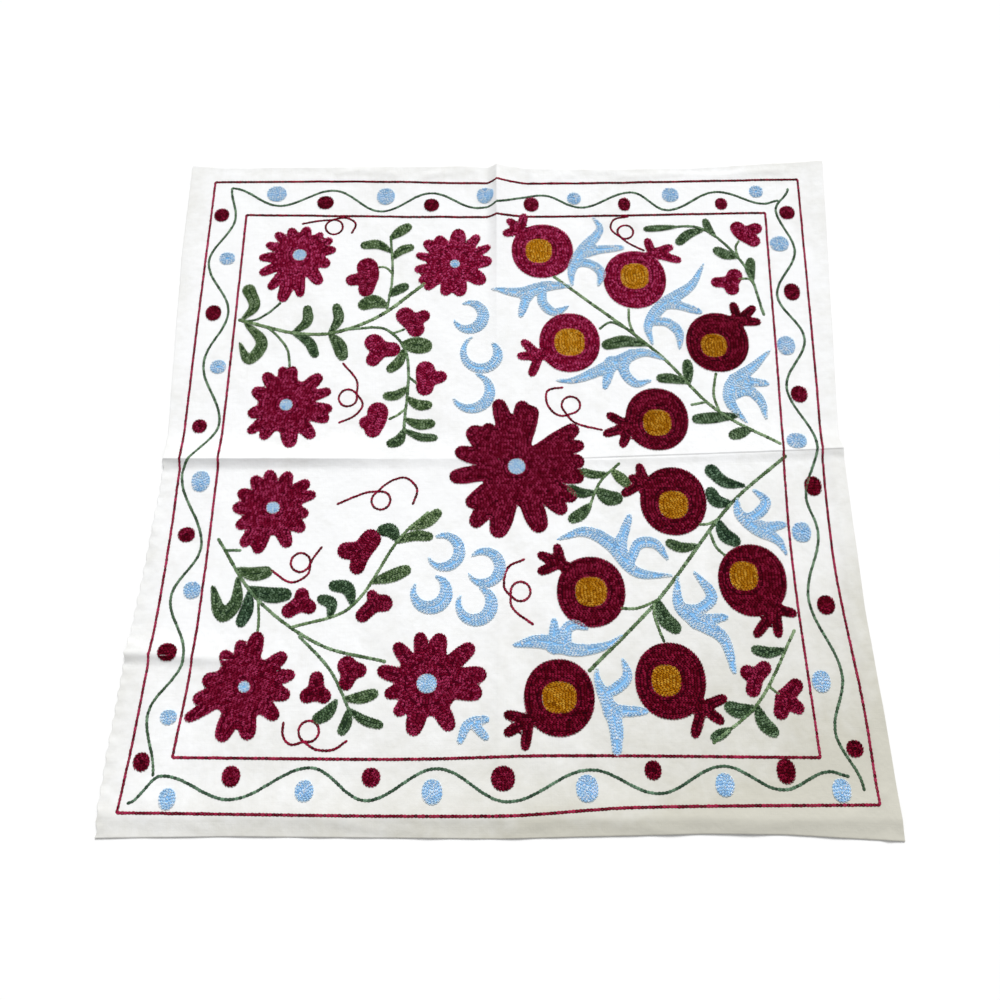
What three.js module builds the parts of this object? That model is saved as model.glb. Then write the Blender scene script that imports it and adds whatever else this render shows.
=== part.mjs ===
// A square embroidered cloth, laid out flat after it was kept folded in quarters.
// Millimetres, +Z up. +X runs to the right and +Y to the far side.
// The origin is the middle of the cloth's outline, on the surface that it lies on.

import * as THREE from "three";

// The square that the cloth was cut and hemmed to, and how thick it is with its stitching.
const HALF_SIDE = 450;
const THICKNESS = 1.5;

// How far each edge reaches from the middle, at places along it.
// The sides draw in towards the cross fold, and the right one steps out just under it.
const LEFT_EDGE = [
  { along: -450, out: 451 },
  { along: -410, out: 453 },
  { along: -360, out: 452 },
  { along: -250, out: 446 },
  { along: -150, out: 438 },
  { along: -40, out: 431 },
  { along: 30, out: 430 },
  { along: 150, out: 436 },
  { along: 300, out: 444 },
  { along: 450, out: 446 },
];
const RIGHT_EDGE = [
  { along: -450, out: 449 },
  { along: -340, out: 445 },
  { along: -190, out: 436 },
  { along: 0, out: 433 },
  { along: 14, out: 429 },
  { along: 110, out: 434 },
  { along: 300, out: 445 },
  { along: 450, out: 453 },
];
const NEAR_EDGE = [
  { along: -450, out: 452 },
  { along: -300, out: 449 },
  { along: 0, out: 449 },
  { along: 230, out: 442 },
  { along: 320, out: 442 },
  { along: 450, out: 448 },
];
const FAR_EDGE = [
  { along: -450, out: 449 },
  { along: -400, out: 445 },
  { along: -60, out: 446 },
  { along: 0, out: 442 },
  { along: 150, out: 439 },
  { along: 270, out: 441 },
  { along: 450, out: 452 },
];

// The folds that show. The crest is where a fold stands highest, and rise is how high.
// Before and past are how far its two slopes reach, on the lower and the higher side of the crest.
const LONG_FOLD = {
  crest: [
    { along: -450, at: -1 },
    { along: 450, at: -9 },
  ],
  height: [
    { along: 100, rise: 0 },
    { along: 280, rise: 4 },
    { along: 360, rise: 9 },
    { along: 412, rise: 13 },
    { along: 450, rise: 10 },
  ],
  before: 15,
  past: 46,
};
const CROSS_FOLD = {
  crest: [
    { along: -450, at: -1 },
    { along: 60, at: 0 },
    { along: 450, at: 15 },
  ],
  height: [
    { along: -430, rise: 6 },
    { along: -240, rise: 5 },
    { along: -120, rise: 2 },
    { along: 60, rise: 1.5 },
    { along: 300, rise: 2.5 },
    { along: 430, rise: 4 },
  ],
  before: 14,
  past: 42,
};
const SIDE_FOLD = {
  crest: [
    { along: -450, at: -246 },
    { along: -250, at: -259 },
  ],
  height: [
    { along: -440, rise: 5 },
    { along: -355, rise: 3 },
    { along: -235, rise: 0 },
  ],
  before: 13,
  past: 34,
};
const NEAR_HEM_ROLL = {
  crest: [
    { along: -450, at: -429 },
    { along: 450, at: -426 },
  ],
  height: [
    { along: -450, rise: 2.5 },
    { along: -200, rise: 4 },
    { along: 300, rise: 4 },
    { along: 450, rise: 2.5 },
  ],
  before: 20,
  past: 34,
};
const FOLD_SHARPNESS = 1.5;

// Grid lines of the cloth, closest together at the folds.
const COLUMN_SPANS = [
  { from: -450, to: -60, steps: 12 },
  { from: -60, to: -20, steps: 2 },
  { from: -20, to: -5, steps: 2 },
  { from: -5, to: 41, steps: 4 },
  { from: 41, to: 450, steps: 12 },
];
const ROW_SPANS = [
  { from: -450, to: -396, steps: 5 },
  { from: -396, to: -265, steps: 4 },
  { from: -265, to: -252, steps: 2 },
  { from: -252, to: -218, steps: 2 },
  { from: -218, to: -14, steps: 6 },
  { from: -14, to: 0, steps: 2 },
  { from: 0, to: 42, steps: 3 },
  { from: 42, to: 352, steps: 9 },
  { from: 352, to: 450, steps: 5 },
];

// The grid lines that run along the two main crests, and how far from them others are drawn along.
const LONG_FOLD_COLUMN = -5;
const CROSS_FOLD_ROW = 0;
const DRAWN_REACH = 100;

const CLOTH_COLOUR = 0xf1efe8;

/** The grid lines that a table of spans gives. */
function gridLines(spans) {
  const lines = [spans[0].from];
  for (const { from, to, steps } of spans) {
    for (let step = 1; step <= steps; step += 1) {
      lines.push(THREE.MathUtils.lerp(from, to, step / steps));
    }
  }
  return lines;
}

/** A table's column at a place along it, on straight lines between its rows. */
function tableAt(table, along, column) {
  const last = table[table.length - 1];
  if (along <= table[0].along) {
    return table[0][column];
  }
  if (along >= last.along) {
    return last[column];
  }
  const next = table.findIndex((row) => row.along >= along);
  const start = table[next - 1];
  const end = table[next];
  const share = (along - start.along) / (end.along - start.along);
  return THREE.MathUtils.lerp(start[column], end[column], share);
}

/** A place between two edges for a grid line of the flat square. */
function between(low, high, line) {
  return THREE.MathUtils.lerp(low, high, (line + HALF_SIDE) / (2 * HALF_SIDE));
}

/** How strongly a grid line is drawn along with the one on a crest: 1 on it, 0 a reach away. */
function drawnShare(line, crestLine) {
  return Math.max(0, 1 - Math.abs(line - crestLine) / DRAWN_REACH);
}

/** Where a point of the flat square lies on the surface once the cloth is laid out. */
function layPoint(column, row) {
  const left = -tableAt(LEFT_EDGE, row, "out");
  const right = tableAt(RIGHT_EDGE, row, "out");
  const near = -tableAt(NEAR_EDGE, column, "out");
  const far = tableAt(FAR_EDGE, column, "out");
  const longShift = tableAt(LONG_FOLD.crest, row, "at") - between(left, right, LONG_FOLD_COLUMN);
  const crossShift = tableAt(CROSS_FOLD.crest, column, "at") - between(near, far, CROSS_FOLD_ROW);
  const x = between(left, right, column) + longShift * drawnShare(column, LONG_FOLD_COLUMN);
  const y = between(near, far, row) + crossShift * drawnShare(row, CROSS_FOLD_ROW);
  return { x, y };
}

/** How high one fold lifts the cloth, along its length and at a place across it. */
function foldRise(fold, along, across) {
  const distance = across - tableAt(fold.crest, along, "at");
  const width = distance < 0 ? fold.before : fold.past;
  const share = Math.max(0, 1 - Math.abs(distance) / width);
  return tableAt(fold.height, along, "rise") * share ** FOLD_SHARPNESS;
}

/** How high the cloth stands off the surface at a place. */
function clothRise(x, y) {
  const fromLongFold = foldRise(LONG_FOLD, y, x);
  const acrossFolds = [CROSS_FOLD, SIDE_FOLD, NEAR_HEM_ROLL].map((fold) => foldRise(fold, x, y));
  return Math.max(fromLongFold, ...acrossFolds);
}

/** The cloth as one closed sheet: a thin slab of grid squares, laid over its folds. */
function clothGeometry() {
  const columns = gridLines(COLUMN_SPANS);
  const rows = gridLines(ROW_SPANS);
  const acrossSteps = columns.length - 1;
  const alongSteps = rows.length - 1;
  const slab = new THREE.BoxGeometry(1, 1, 1, acrossSteps, alongSteps, 1);
  const points = slab.getAttribute("position");
  for (let index = 0; index < points.count; index += 1) {
    const column = columns[Math.round((points.getX(index) + 0.5) * acrossSteps)];
    const row = rows[Math.round((points.getY(index) + 0.5) * alongSteps)];
    const face = points.getZ(index) > 0 ? THICKNESS : 0;
    const { x, y } = layPoint(column, row);
    points.setXYZ(index, x, y, clothRise(x, y) + face);
  }
  slab.computeBoundingBox();
  const middle = slab.boundingBox.getCenter(new THREE.Vector3());
  slab.translate(-middle.x, -middle.y, 0);
  slab.computeVertexNormals();
  return slab;
}

/** The ground cloth, with the turned hem that is part of it. */
function groundCloth() {
  const material = new THREE.MeshStandardMaterial({ color: CLOTH_COLOUR, roughness: 0.92, metalness: 0 });
  const cloth = new THREE.Mesh(clothGeometry(), material);
  cloth.name = "ground_cloth";
  return cloth;
}

const embroideredCloth = new THREE.Group();
embroideredCloth.add(groundCloth());

export default embroideredCloth;
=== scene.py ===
"""A square suzani cloth, embroidered in chain stitch and laid out flat on a pale floor.

Places and sizes of the cloth and its pattern are in millimetres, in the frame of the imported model.
They become metres where a mesh is made. The pattern is worked stitch by stitch: every stitch is a
small closed loop or pair of grains of thread that lies on the folds of the cloth.
"""

import logging
import math
from collections import defaultdict
from collections.abc import Sequence
from dataclasses import dataclass, field
from enum import Enum
from typing import NamedTuple

import bmesh
import bpy
import numpy as np
from mathutils import Euler, Matrix, Vector


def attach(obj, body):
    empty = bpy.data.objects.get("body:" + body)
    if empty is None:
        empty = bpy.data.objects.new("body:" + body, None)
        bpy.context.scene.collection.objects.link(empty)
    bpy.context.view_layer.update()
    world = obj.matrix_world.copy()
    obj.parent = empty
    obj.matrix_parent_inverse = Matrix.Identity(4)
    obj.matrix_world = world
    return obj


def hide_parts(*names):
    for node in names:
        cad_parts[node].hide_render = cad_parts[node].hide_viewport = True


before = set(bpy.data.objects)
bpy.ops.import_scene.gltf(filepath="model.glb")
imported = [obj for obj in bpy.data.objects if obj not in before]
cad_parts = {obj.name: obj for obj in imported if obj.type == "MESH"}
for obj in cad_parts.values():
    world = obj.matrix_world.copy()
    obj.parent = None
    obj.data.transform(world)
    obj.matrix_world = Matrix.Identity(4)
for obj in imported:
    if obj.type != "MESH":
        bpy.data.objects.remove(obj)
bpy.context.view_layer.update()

log = logging.getLogger("suzani")

Point = tuple[float, float]
Point3 = tuple[float, float, float]
Table = tuple[tuple[float, float], ...]

MM = 0.001
BODY = "root"

# The square that the cloth was cut to, and where its surfaces lie over the floor.
HALF_SIDE = 450.0
UNDERSIDE = 0.15
CLOTH_TOP = 1.2

# Sewing sizes.
FILL_LENGTH = 3.7
FILL_PITCH = 2.6
LINE_LENGTH = 4.1
LINE_WIDTH = 3.3
PATCH_LIFT = 0.3
SPLINE_STEPS = 12
PATH_STEP = 1.5
SWING_PLACES = 6
ARC_PLACES = 13


def table_at(table: Table, places: np.ndarray) -> np.ndarray:
    """The second column of a table at places along its first, on straight lines between the rows."""
    along, value = zip(*table)
    return np.interp(places, along, value)


def even_places(marks: np.ndarray, step: float) -> np.ndarray:
    """Places an even step apart along a chain of straight pieces.

    Args:
        marks: The ends of the pieces, as rows of x and y.
        step: About how far apart the places are.

    Returns:
        Rows of x and y from the first mark to the last.
    """
    gaps = np.hypot(*np.diff(marks[:, :2], axis=0).T)
    reached = np.concatenate([[0.0], np.cumsum(gaps)])
    count = max(1, round(reached[-1] / step))
    wanted = np.linspace(0.0, reached[-1], count + 1)
    return np.stack([np.interp(wanted, reached, marks[:, axis]) for axis in (0, 1)], axis=1)


def smooth_path(points: Sequence[Point], step: float) -> np.ndarray:
    """A smooth curve through a few points, as places an even step apart.

    Args:
        points: Two or more places that the curve runs through.
        step: About how far apart the returned places are.

    Returns:
        Rows of x and y from the first point to the last.
    """
    marks = np.array(points, dtype=float)
    padded = np.vstack([2 * marks[0] - marks[1], marks, 2 * marks[-1] - marks[-2]])
    chords = np.hypot(*np.diff(padded, axis=0).T)[:, None]
    heading = (padded[2:] - padded[:-2]) / (chords[1:] + chords[:-1])
    share = np.linspace(0.0, 1.0, SPLINE_STEPS, endpoint=False)[:, None]
    pieces = []
    for index, chord in enumerate(chords[1:-1]):
        start, end = marks[index], marks[index + 1]
        leave, arrive = heading[index] * chord, heading[index + 1] * chord
        pieces.append(
            (2 * share**3 - 3 * share**2 + 1) * start
            + (share**3 - 2 * share**2 + share) * leave
            + (3 * share**2 - 2 * share**3) * end
            + (share**3 - share**2) * arrive
        )
    pieces.append(marks[-1:])
    return even_places(np.vstack(pieces), step)


# The shape of the laid cloth: its outline, its folds and its small creases.
# An edge table says how far the edge reaches from the middle, at places along it.
LEFT_EDGE = (
    (-450, 451), (-410, 453), (-360, 452), (-250, 446), (-150, 438),
    (-40, 431), (30, 430), (150, 436), (300, 444), (450, 446),
)
RIGHT_EDGE = (
    (-450, 449), (-340, 445), (-190, 436), (0, 433), (14, 429), (110, 434), (300, 445), (450, 453),
)
NEAR_EDGE = ((-450, 452), (-300, 449), (0, 449), (230, 442), (320, 442), (450, 448))
FAR_EDGE = ((-450, 449), (-400, 445), (-60, 446), (0, 442), (150, 439), (270, 441), (450, 452))

FOLD_SHARPNESS = 1.5


@dataclass(frozen=True)
class Fold:
    """One fold that runs right across the cloth, with a steeper and a gentler side.

    The crest and height tables give its place and rise along it. Before and past are how far the
    two slopes reach, on the lower and the higher side of the crest.
    """

    crest: Table
    height: Table
    before: float
    past: float

    def rise(self, along: np.ndarray, across: np.ndarray) -> np.ndarray:
        """How high the fold lifts the cloth at places along and across it.

        Args:
            along: Places along the fold.
            across: Places across it.

        Returns:
            The rise at each place.
        """
        distance = across - table_at(self.crest, along)
        width = np.where(distance < 0, self.before, self.past)
        share = np.clip(1 - np.abs(distance) / width, 0, None)
        return table_at(self.height, along) * share**FOLD_SHARPNESS


LONG_FOLD = Fold(
    crest=((-450, -1), (450, -9)),
    height=((100, 0), (280, 4), (360, 9), (412, 13), (450, 10)),
    before=15,
    past=46,
)
CROSS_FOLD = Fold(
    crest=((-450, -1), (60, 0), (450, 15)),
    height=((-430, 6), (-240, 5), (-120, 2), (60, 1.5), (300, 2.5), (430, 4)),
    before=14,
    past=42,
)
SIDE_FOLD = Fold(
    crest=((-450, -246), (-250, -259)),
    height=((-440, 5), (-355, 3), (-235, 0)),
    before=13,
    past=34,
)
NEAR_HEM_ROLL = Fold(
    crest=((-450, -429), (450, -426)),
    height=((-450, 2.5), (-200, 3.6), (300, 3.6), (450, 2.5)),
    before=20,
    past=48,
)
RIGHT_HEM_ROLL = Fold(
    crest=((-450, 432), (-190, 421), (0, 418), (110, 420), (450, 440)),
    height=((-450, 1.6), (-20, 1.8), (20, 0.6), (450, 1.2)),
    before=10,
    past=18,
)


class Crease(NamedTuple):
    """A short soft crease from one place to another. A negative height is a trough."""

    start: Point
    end: Point
    height: float
    width: float


CREASES = (
    Crease((36, 446), (44, 414), 1.6, 9),
    Crease((64, 413), (86, 436), 1.1, 6),
    Crease((86, 436), (118, 414), 1.0, 6),
    Crease((50, 440), (70, 436), -1.2, 9),
    Crease((96, 424), (112, 420), -0.8, 8),
    Crease((120, 436), (180, 430), 0.7, 7),
    Crease((-60, 436), (-120, 428), 0.7, 8),
    Crease((-30, 430), (-48, 440), 0.8, 6),
    Crease((-150, 432), (-210, 438), 0.6, 7),
    Crease((210, 434), (290, 428), 0.6, 8),
    Crease((-2, 100), (-3, -60), 0.5, 10),
    Crease((-2, -60), (0, -440), 0.8, 12),
    Crease((-330, 22), (-250, 18), -0.9, 12),
    Crease((-230, 120), (-190, 90), 0.5, 12),
    Crease((-60, -240), (-10, -300), 0.5, 9),
    Crease((-20, -250), (30, -330), 0.5, 9),
    Crease((60, -330), (120, -370), 0.4, 9),
    Crease((-40, 30), (-90, -30), 0.5, 10),
    Crease((-60, 250), (-90, 160), 0.4, 12),
    Crease((230, -290), (300, -250), 0.4, 10),
    Crease((-420, -160), (-436, -60), 0.9, 9),
    Crease((-395, -340), (-440, -400), 0.9, 10),
    Crease((-438, 60), (-440, 240), 0.9, 7),
    Crease((380, -430), (445, -390), 0.8, 9),
    Crease((-360, -436), (-300, -444), 0.7, 7),
    Crease((-120, -436), (-70, -446), 0.7, 7),
    Crease((120, -432), (200, -440), 0.7, 7),
    Crease((-395, 441), (-255, 436), -0.9, 9),
    Crease((-240, 434), (-185, 441), 0.9, 6),
    Crease((-172, 441), (-150, 425), 1.0, 6),
    Crease((-112, 425), (-82, 440), 1.0, 6),
    Crease((150, 424), (250, 430), 0.8, 8),
    Crease((200, 440), (330, 434), -0.9, 9),
    Crease((290, 427), (405, 437), 1.1, 9),
    Crease((395, 385), (440, 300), 0.8, 9),
    Crease((426, 250), (438, 150), 0.7, 8),
    Crease((430, -60), (437, -200), 0.7, 9),
    Crease((436, -250), (444, -330), 0.7, 9),
    Crease((-195, -431), (-110, -444), 1.2, 9),
    Crease((5, -440), (60, -432), 0.8, 8),
    Crease((250, -437), (330, -430), 0.8, 9),
)


@dataclass
class Relief:
    """How high the laid cloth stands over the floor, with its folds, puckers and small waves."""

    pucker_period: float = 17.0
    pucker_rise: float = 1.0
    pucker_reach: float = 18.0
    pucker_drift: float = 1.5
    drift_length: float = 41.0
    far_pucker_share: float = 0.35
    groove_depth: float = 0.9
    groove_width: float = 2.2
    groove_start: float = 60.0
    groove_fade: float = 80.0
    crease_fade: float = 4.0
    crease_end_share: float = 0.15
    crease_sharpness: float = 1.3
    wave_count: int = 12
    wave_rise: float = 0.09
    shortest_wave: float = 26.0
    longest_wave: float = 95.0
    waves: np.ndarray = field(init=False)

    def __post_init__(self) -> None:
        """Draws the small waves of the cloth once."""
        draws = np.random.default_rng(11)
        heading = draws.uniform(0, 2 * math.pi, self.wave_count)
        number = 2 * math.pi / draws.uniform(self.shortest_wave, self.longest_wave, self.wave_count)
        phase = draws.uniform(0, 2 * math.pi, self.wave_count)
        self.waves = np.stack([np.cos(heading) * number, np.sin(heading) * number, phase], axis=1)

    def height(self, x: np.ndarray, y: np.ndarray) -> np.ndarray:
        """How high the cloth is lifted at places given by x and y.

        Args:
            x: The places along X.
            y: The places along Y.

        Returns:
            How far the cloth is lifted at each place.
        """
        folds = np.maximum.reduce([
            LONG_FOLD.rise(y, x),
            CROSS_FOLD.rise(x, y),
            SIDE_FOLD.rise(x, y),
            NEAR_HEM_ROLL.rise(x, y),
            RIGHT_HEM_ROLL.rise(y, x),
        ])
        small = self.creases(x, y) + self.groove(x, y) + self.puckers(x, y)
        for across, along, phase in self.waves:
            small = small + self.wave_rise * np.sin(across * x + along * y + phase)
        headroom = self.wave_rise * self.wave_count / 3
        return np.clip(folds + small + headroom, 0, None)

    def creases(self, x: np.ndarray, y: np.ndarray) -> np.ndarray:
        """How much the short creases add.

        Args:
            x: The places along X.
            y: The places along Y.

        Returns:
            The rise at each place, negative in a trough.
        """
        total = np.zeros_like(x)
        for crease in CREASES:
            start, end = np.array(crease.start), np.array(crease.end)
            line = end - start
            share = ((x - start[0]) * line[0] + (y - start[1]) * line[1]) / (line @ line)
            held = np.clip(share, 0, 1)
            distance = np.hypot(x - start[0] - held * line[0], y - start[1] - held * line[1])
            to_end = np.minimum(held, 1 - held)
            fade = np.clip(self.crease_fade * to_end + self.crease_end_share, 0, 1)
            profile = np.clip(1 - distance / crease.width, 0, None) ** self.crease_sharpness
            total += crease.height * fade * profile
        return total

    def groove(self, x: np.ndarray, y: np.ndarray) -> np.ndarray:
        """The sharp pressed line along the right half of the cross fold.

        Args:
            x: The places along X.
            y: The places along Y.

        Returns:
            The rise at each place, never above zero.
        """
        distance = np.abs(y - table_at(CROSS_FOLD.crest, x) + self.groove_width / 2)
        depth = self.groove_depth * np.clip((x - self.groove_start) / self.groove_fade, 0, 1)
        return -depth * np.clip(1 - distance / (self.groove_width / 2), 0, None)

    def puckers(self, x: np.ndarray, y: np.ndarray) -> np.ndarray:
        """The small gathers along the left hem, stronger on the near half.

        Args:
            x: The places along X.
            y: The places along Y.

        Returns:
            The rise at each place.
        """
        inward = x + table_at(LEFT_EDGE, y)
        reach = np.clip(1 - inward / self.pucker_reach, 0, 1)
        strength = np.where(y < 0, 1.0, self.far_pucker_share)
        return self.pucker_rise * strength * reach * (0.5 + 0.5 * self.pucker_wave(y))

    def pucker_wave(self, y: np.ndarray) -> np.ndarray:
        """The uneven wave of the gathers along the left hem, from -1 to 1."""
        drift = self.pucker_drift * np.sin(y / self.drift_length)
        return np.sin(2 * math.pi * y / self.pucker_period + drift)


# Shapes that the pattern is drawn with.
@dataclass(frozen=True)
class Stroke:
    """A rounded stroke along a smooth path, with its half widths at the start, middle and end."""

    path: tuple[Point, ...]
    start: float
    middle: float
    end: float
    widest: float = 0.5

    def discs(self) -> np.ndarray:
        """The stroke as close-set discs: rows of x, y and radius.

        Returns:
            One row for each disc.
        """
        places = smooth_path(self.path, PATH_STEP)
        share = np.linspace(0, 1, len(places))
        before = np.clip(share / self.widest, 0, 1)
        past = np.clip((share - self.widest) / (1 - self.widest), 0, 1)
        swell = self.start + (self.middle - self.start) * np.sin(before * math.pi / 2)
        fall = (self.middle - self.end) * (1 - np.cos(past * math.pi / 2))
        return np.column_stack([places, swell - fall])

    def depth(self, x: np.ndarray, y: np.ndarray) -> np.ndarray:
        """How far places lie inside the stroke.

        Args:
            x: The places along X.
            y: The places along Y.

        Returns:
            The depth of each place, negative where it lies outside.
        """
        discs = self.discs()
        away = np.hypot(x[:, None] - discs[:, 0], y[:, None] - discs[:, 1])
        return (discs[:, 2] - away).max(axis=1)

    def limits(self) -> tuple[float, float, float, float]:
        """The lowest x and y and the highest x and y that the stroke reaches.

        Returns:
            Lowest x, lowest y, highest x and highest y.
        """
        discs = self.discs()
        low = (discs[:, :2] - discs[:, 2:]).min(axis=0)
        high = (discs[:, :2] + discs[:, 2:]).max(axis=0)
        return (*low, *high)


@dataclass(frozen=True)
class Disc:
    """A round or oval shape. Over 2, its squareness fills out its corners."""

    x: float
    y: float
    across: float
    along: float
    squareness: float = 2.0

    def depth(self, x: np.ndarray, y: np.ndarray) -> np.ndarray:
        """How far places lie inside the disc.

        Args:
            x: The places along X.
            y: The places along Y.

        Returns:
            The depth of each place, negative where it lies outside.
        """
        sideways = np.abs((x - self.x) / self.across) ** self.squareness
        lengthwise = np.abs((y - self.y) / self.along) ** self.squareness
        reached = (sideways + lengthwise) ** (1 / self.squareness)
        return (1 - reached) * min(self.across, self.along)

    def limits(self) -> tuple[float, float, float, float]:
        """The lowest x and y and the highest x and y that the disc reaches."""
        return (self.x - self.across, self.y - self.along, self.x + self.across, self.y + self.along)


Shape = Stroke | Disc


def toward(x: float, y: float, angle: float, reach: float) -> Point:
    """The place that lies a reach away from x and y, at an angle in degrees."""
    turn = math.radians(angle)
    return (x + reach * math.cos(turn), y + reach * math.sin(turn))


class FillStyle(Enum):
    """How the rows of stitches fill a shape."""

    RINGS = "rows that follow the outline all the way in"
    ROWS = "two rows along the outline and straight rows inside"


@dataclass(frozen=True)
class Motif:
    """One filled shape of the pattern: what it is made of, how it is filled and its own shade, partly
    painted sheen.
    """

    shapes: tuple[Shape, ...]
    holes: tuple[Shape, ...] = ()
    style: FillStyle = FillStyle.RINGS
    slant: float = 0.0
    dye_and_sheen: float = 0.5
    cell: float = 2.5
    spill: float = 1.0

    def depth(self, x: np.ndarray, y: np.ndarray) -> np.ndarray:
        """How far places lie inside the motif, whose stitches spill a little over its drawn outline.

        Args:
            x: The places along X.
            y: The places along Y.

        Returns:
            The depth of each place, negative where it lies outside.
        """
        inside = np.maximum.reduce([shape.depth(x, y) for shape in self.shapes]) + self.spill
        for hole in self.holes:
            inside = np.minimum(inside, -hole.depth(x, y))
        return inside

    def limits(self) -> tuple[float, float, float, float]:
        """The lowest x and y and the highest x and y that the motif reaches.

        Returns:
            Lowest x, lowest y, highest x and highest y.
        """
        sides = np.array([shape.limits() for shape in self.shapes])
        low, high = sides[:, :2].min(axis=0) - self.spill, sides[:, 2:].max(axis=0) + self.spill
        return (*low, *high)


def places_of(verts: Sequence[bmesh.types.BMVert]) -> np.ndarray:
    """The places of vertices as rows of x, y and z."""
    return np.array([vert.co[:] for vert in verts])


def cut_across(
    mesh: bmesh.types.BMesh, place: Point3, normal: Point3, trim: bool = False
) -> list[bmesh.types.BMEdge]:
    """Cuts a mesh with a plane.

    Args:
        mesh: The mesh that is cut.
        place: A place on the plane.
        normal: The plane's normal.
        trim: Whether what lies behind the plane is removed.

    Returns:
        The edges that lie on the cut.
    """
    parts = [*mesh.verts, *mesh.edges, *mesh.faces]
    cut = bmesh.ops.bisect_plane(
        mesh, geom=parts, dist=1e-4, plane_co=place, plane_no=normal, clear_inner=trim
    )
    return [part for part in cut["geom_cut"] if isinstance(part, bmesh.types.BMEdge)]


def region_mesh(motif: Motif, cell: float, inset: float) -> bmesh.types.BMesh:
    """The flat region of a motif as a net of triangles, each with its depth as its height.

    Args:
        motif: The shape that is filled.
        cell: How big the squares of the net are.
        inset: How far inside the motif's outline the region stops.

    Returns:
        A mesh that the caller frees.
    """
    low_x, low_y, high_x, high_y = motif.limits()
    across, along = high_x - low_x + cell, high_y - low_y + cell
    mesh = bmesh.new()
    bmesh.ops.create_grid(
        mesh, x_segments=math.ceil(across / cell), y_segments=math.ceil(along / cell), size=0.5
    )
    bmesh.ops.scale(mesh, vec=(across, along, 1), verts=mesh.verts)
    middle = ((low_x + high_x) / 2, (low_y + high_y) / 2, 0)
    bmesh.ops.translate(mesh, vec=middle, verts=mesh.verts)
    bmesh.ops.triangulate(mesh, faces=mesh.faces)
    places = places_of(mesh.verts)
    depths = motif.depth(places[:, 0], places[:, 1]) - inset
    for vert, depth in zip(mesh.verts, depths):
        vert.co.z = depth
    cut_across(mesh, (0, 0, 0), (0, 0, 1), trim=True)
    return mesh


def measure_depths(mesh: bmesh.types.BMesh) -> None:
    """Sets each vertex's height to its true distance from the region's outline.

    Args:
        mesh: The region as a flat net of triangles.
    """
    rim = [edge for edge in mesh.edges if edge.is_boundary]
    starts = places_of([edge.verts[0] for edge in rim])[:, :2]
    lines = places_of([edge.verts[1] for edge in rim])[:, :2] - starts
    squares = np.maximum((lines**2).sum(axis=1), 1e-9)
    places = places_of(mesh.verts)[:, None, :2]
    share = np.clip((((places - starts) * lines).sum(axis=2)) / squares, 0, 1)
    away = places - starts - share[:, :, None] * lines
    for vert, depth in zip(mesh.verts, np.sqrt((away**2).sum(axis=2)).min(axis=1)):
        vert.co.z = depth


def chained(edges: Sequence[bmesh.types.BMEdge]) -> list[np.ndarray]:
    """Joins edges end to end.

    Args:
        edges: The edges, in any order.

    Returns:
        One array of x, y and z rows for each chain.
    """
    links = defaultdict(list)
    for edge in edges:
        for vert in edge.verts:
            links[vert].append(edge)
    unused = set(edges)
    loose_ends = [vert for vert, joined in links.items() if len(joined) != 2]
    chains = []
    for first in [*loose_ends, *links]:
        free = [edge for edge in links[first] if edge in unused]
        if not free:
            continue
        verts, edge = [first], free[0]
        while edge is not None:
            unused.discard(edge)
            verts.append(edge.other_vert(verts[-1]))
            edge = next((other for other in links[verts[-1]] if other in unused), None)
        chains.append(places_of(verts))
    return chains


class RowPlanner:
    """Works out where the rows of stitches of a filled motif run."""

    outline_rows = 2
    clearance = 0.15

    def __init__(self, pitch: float) -> None:
        """Keeps the distance between rows."""
        self.pitch = pitch

    def rows(self, motif: Motif) -> list[np.ndarray]:
        """All rows of one motif, as chains of places.

        Args:
            motif: The shape that is filled.

        Returns:
            One array of x, y and z rows for each row.
        """
        mesh = region_mesh(motif, motif.cell, 0)
        measure_depths(mesh)
        deepest = max(vert.co.z for vert in mesh.verts)
        ring_count = math.ceil(deepest / self.pitch)
        if motif.style is FillStyle.ROWS:
            ring_count = min(ring_count, self.outline_rows)
        rows = []
        for ring in range(ring_count):
            level = (ring + 0.5) * self.pitch
            work = mesh.copy()
            rows += chained(cut_across(work, (0, 0, level), (0, 0, 1)))
            work.free()
        if motif.style is FillStyle.ROWS:
            rows += self.straight_rows(mesh, motif)
        mesh.free()
        return rows

    def straight_rows(self, mesh: bmesh.types.BMesh, motif: Motif) -> list[np.ndarray]:
        """The straight rows inside the outline rows of a motif.

        Args:
            mesh: The motif's region, with its depths as heights.
            motif: The shape that is filled.

        Returns:
            One array of x, y and z rows for each row.
        """
        turn = math.radians(motif.slant)
        normal = (-math.sin(turn), math.cos(turn), 0.0)
        offsets = places_of(mesh.verts) @ np.array(normal)
        inner = self.pitch * (self.outline_rows + self.clearance)
        rows = []
        for offset in np.arange(offsets.min() + self.pitch / 2, offsets.max(), self.pitch):
            work = mesh.copy()
            place = (normal[0] * offset, normal[1] * offset, 0)
            edges = cut_across(work, place, normal)
            deep = [edge for edge in edges if min(vert.co.z for vert in edge.verts) > inner]
            rows += chained(deep)
            work.free()
        return rows


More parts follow.
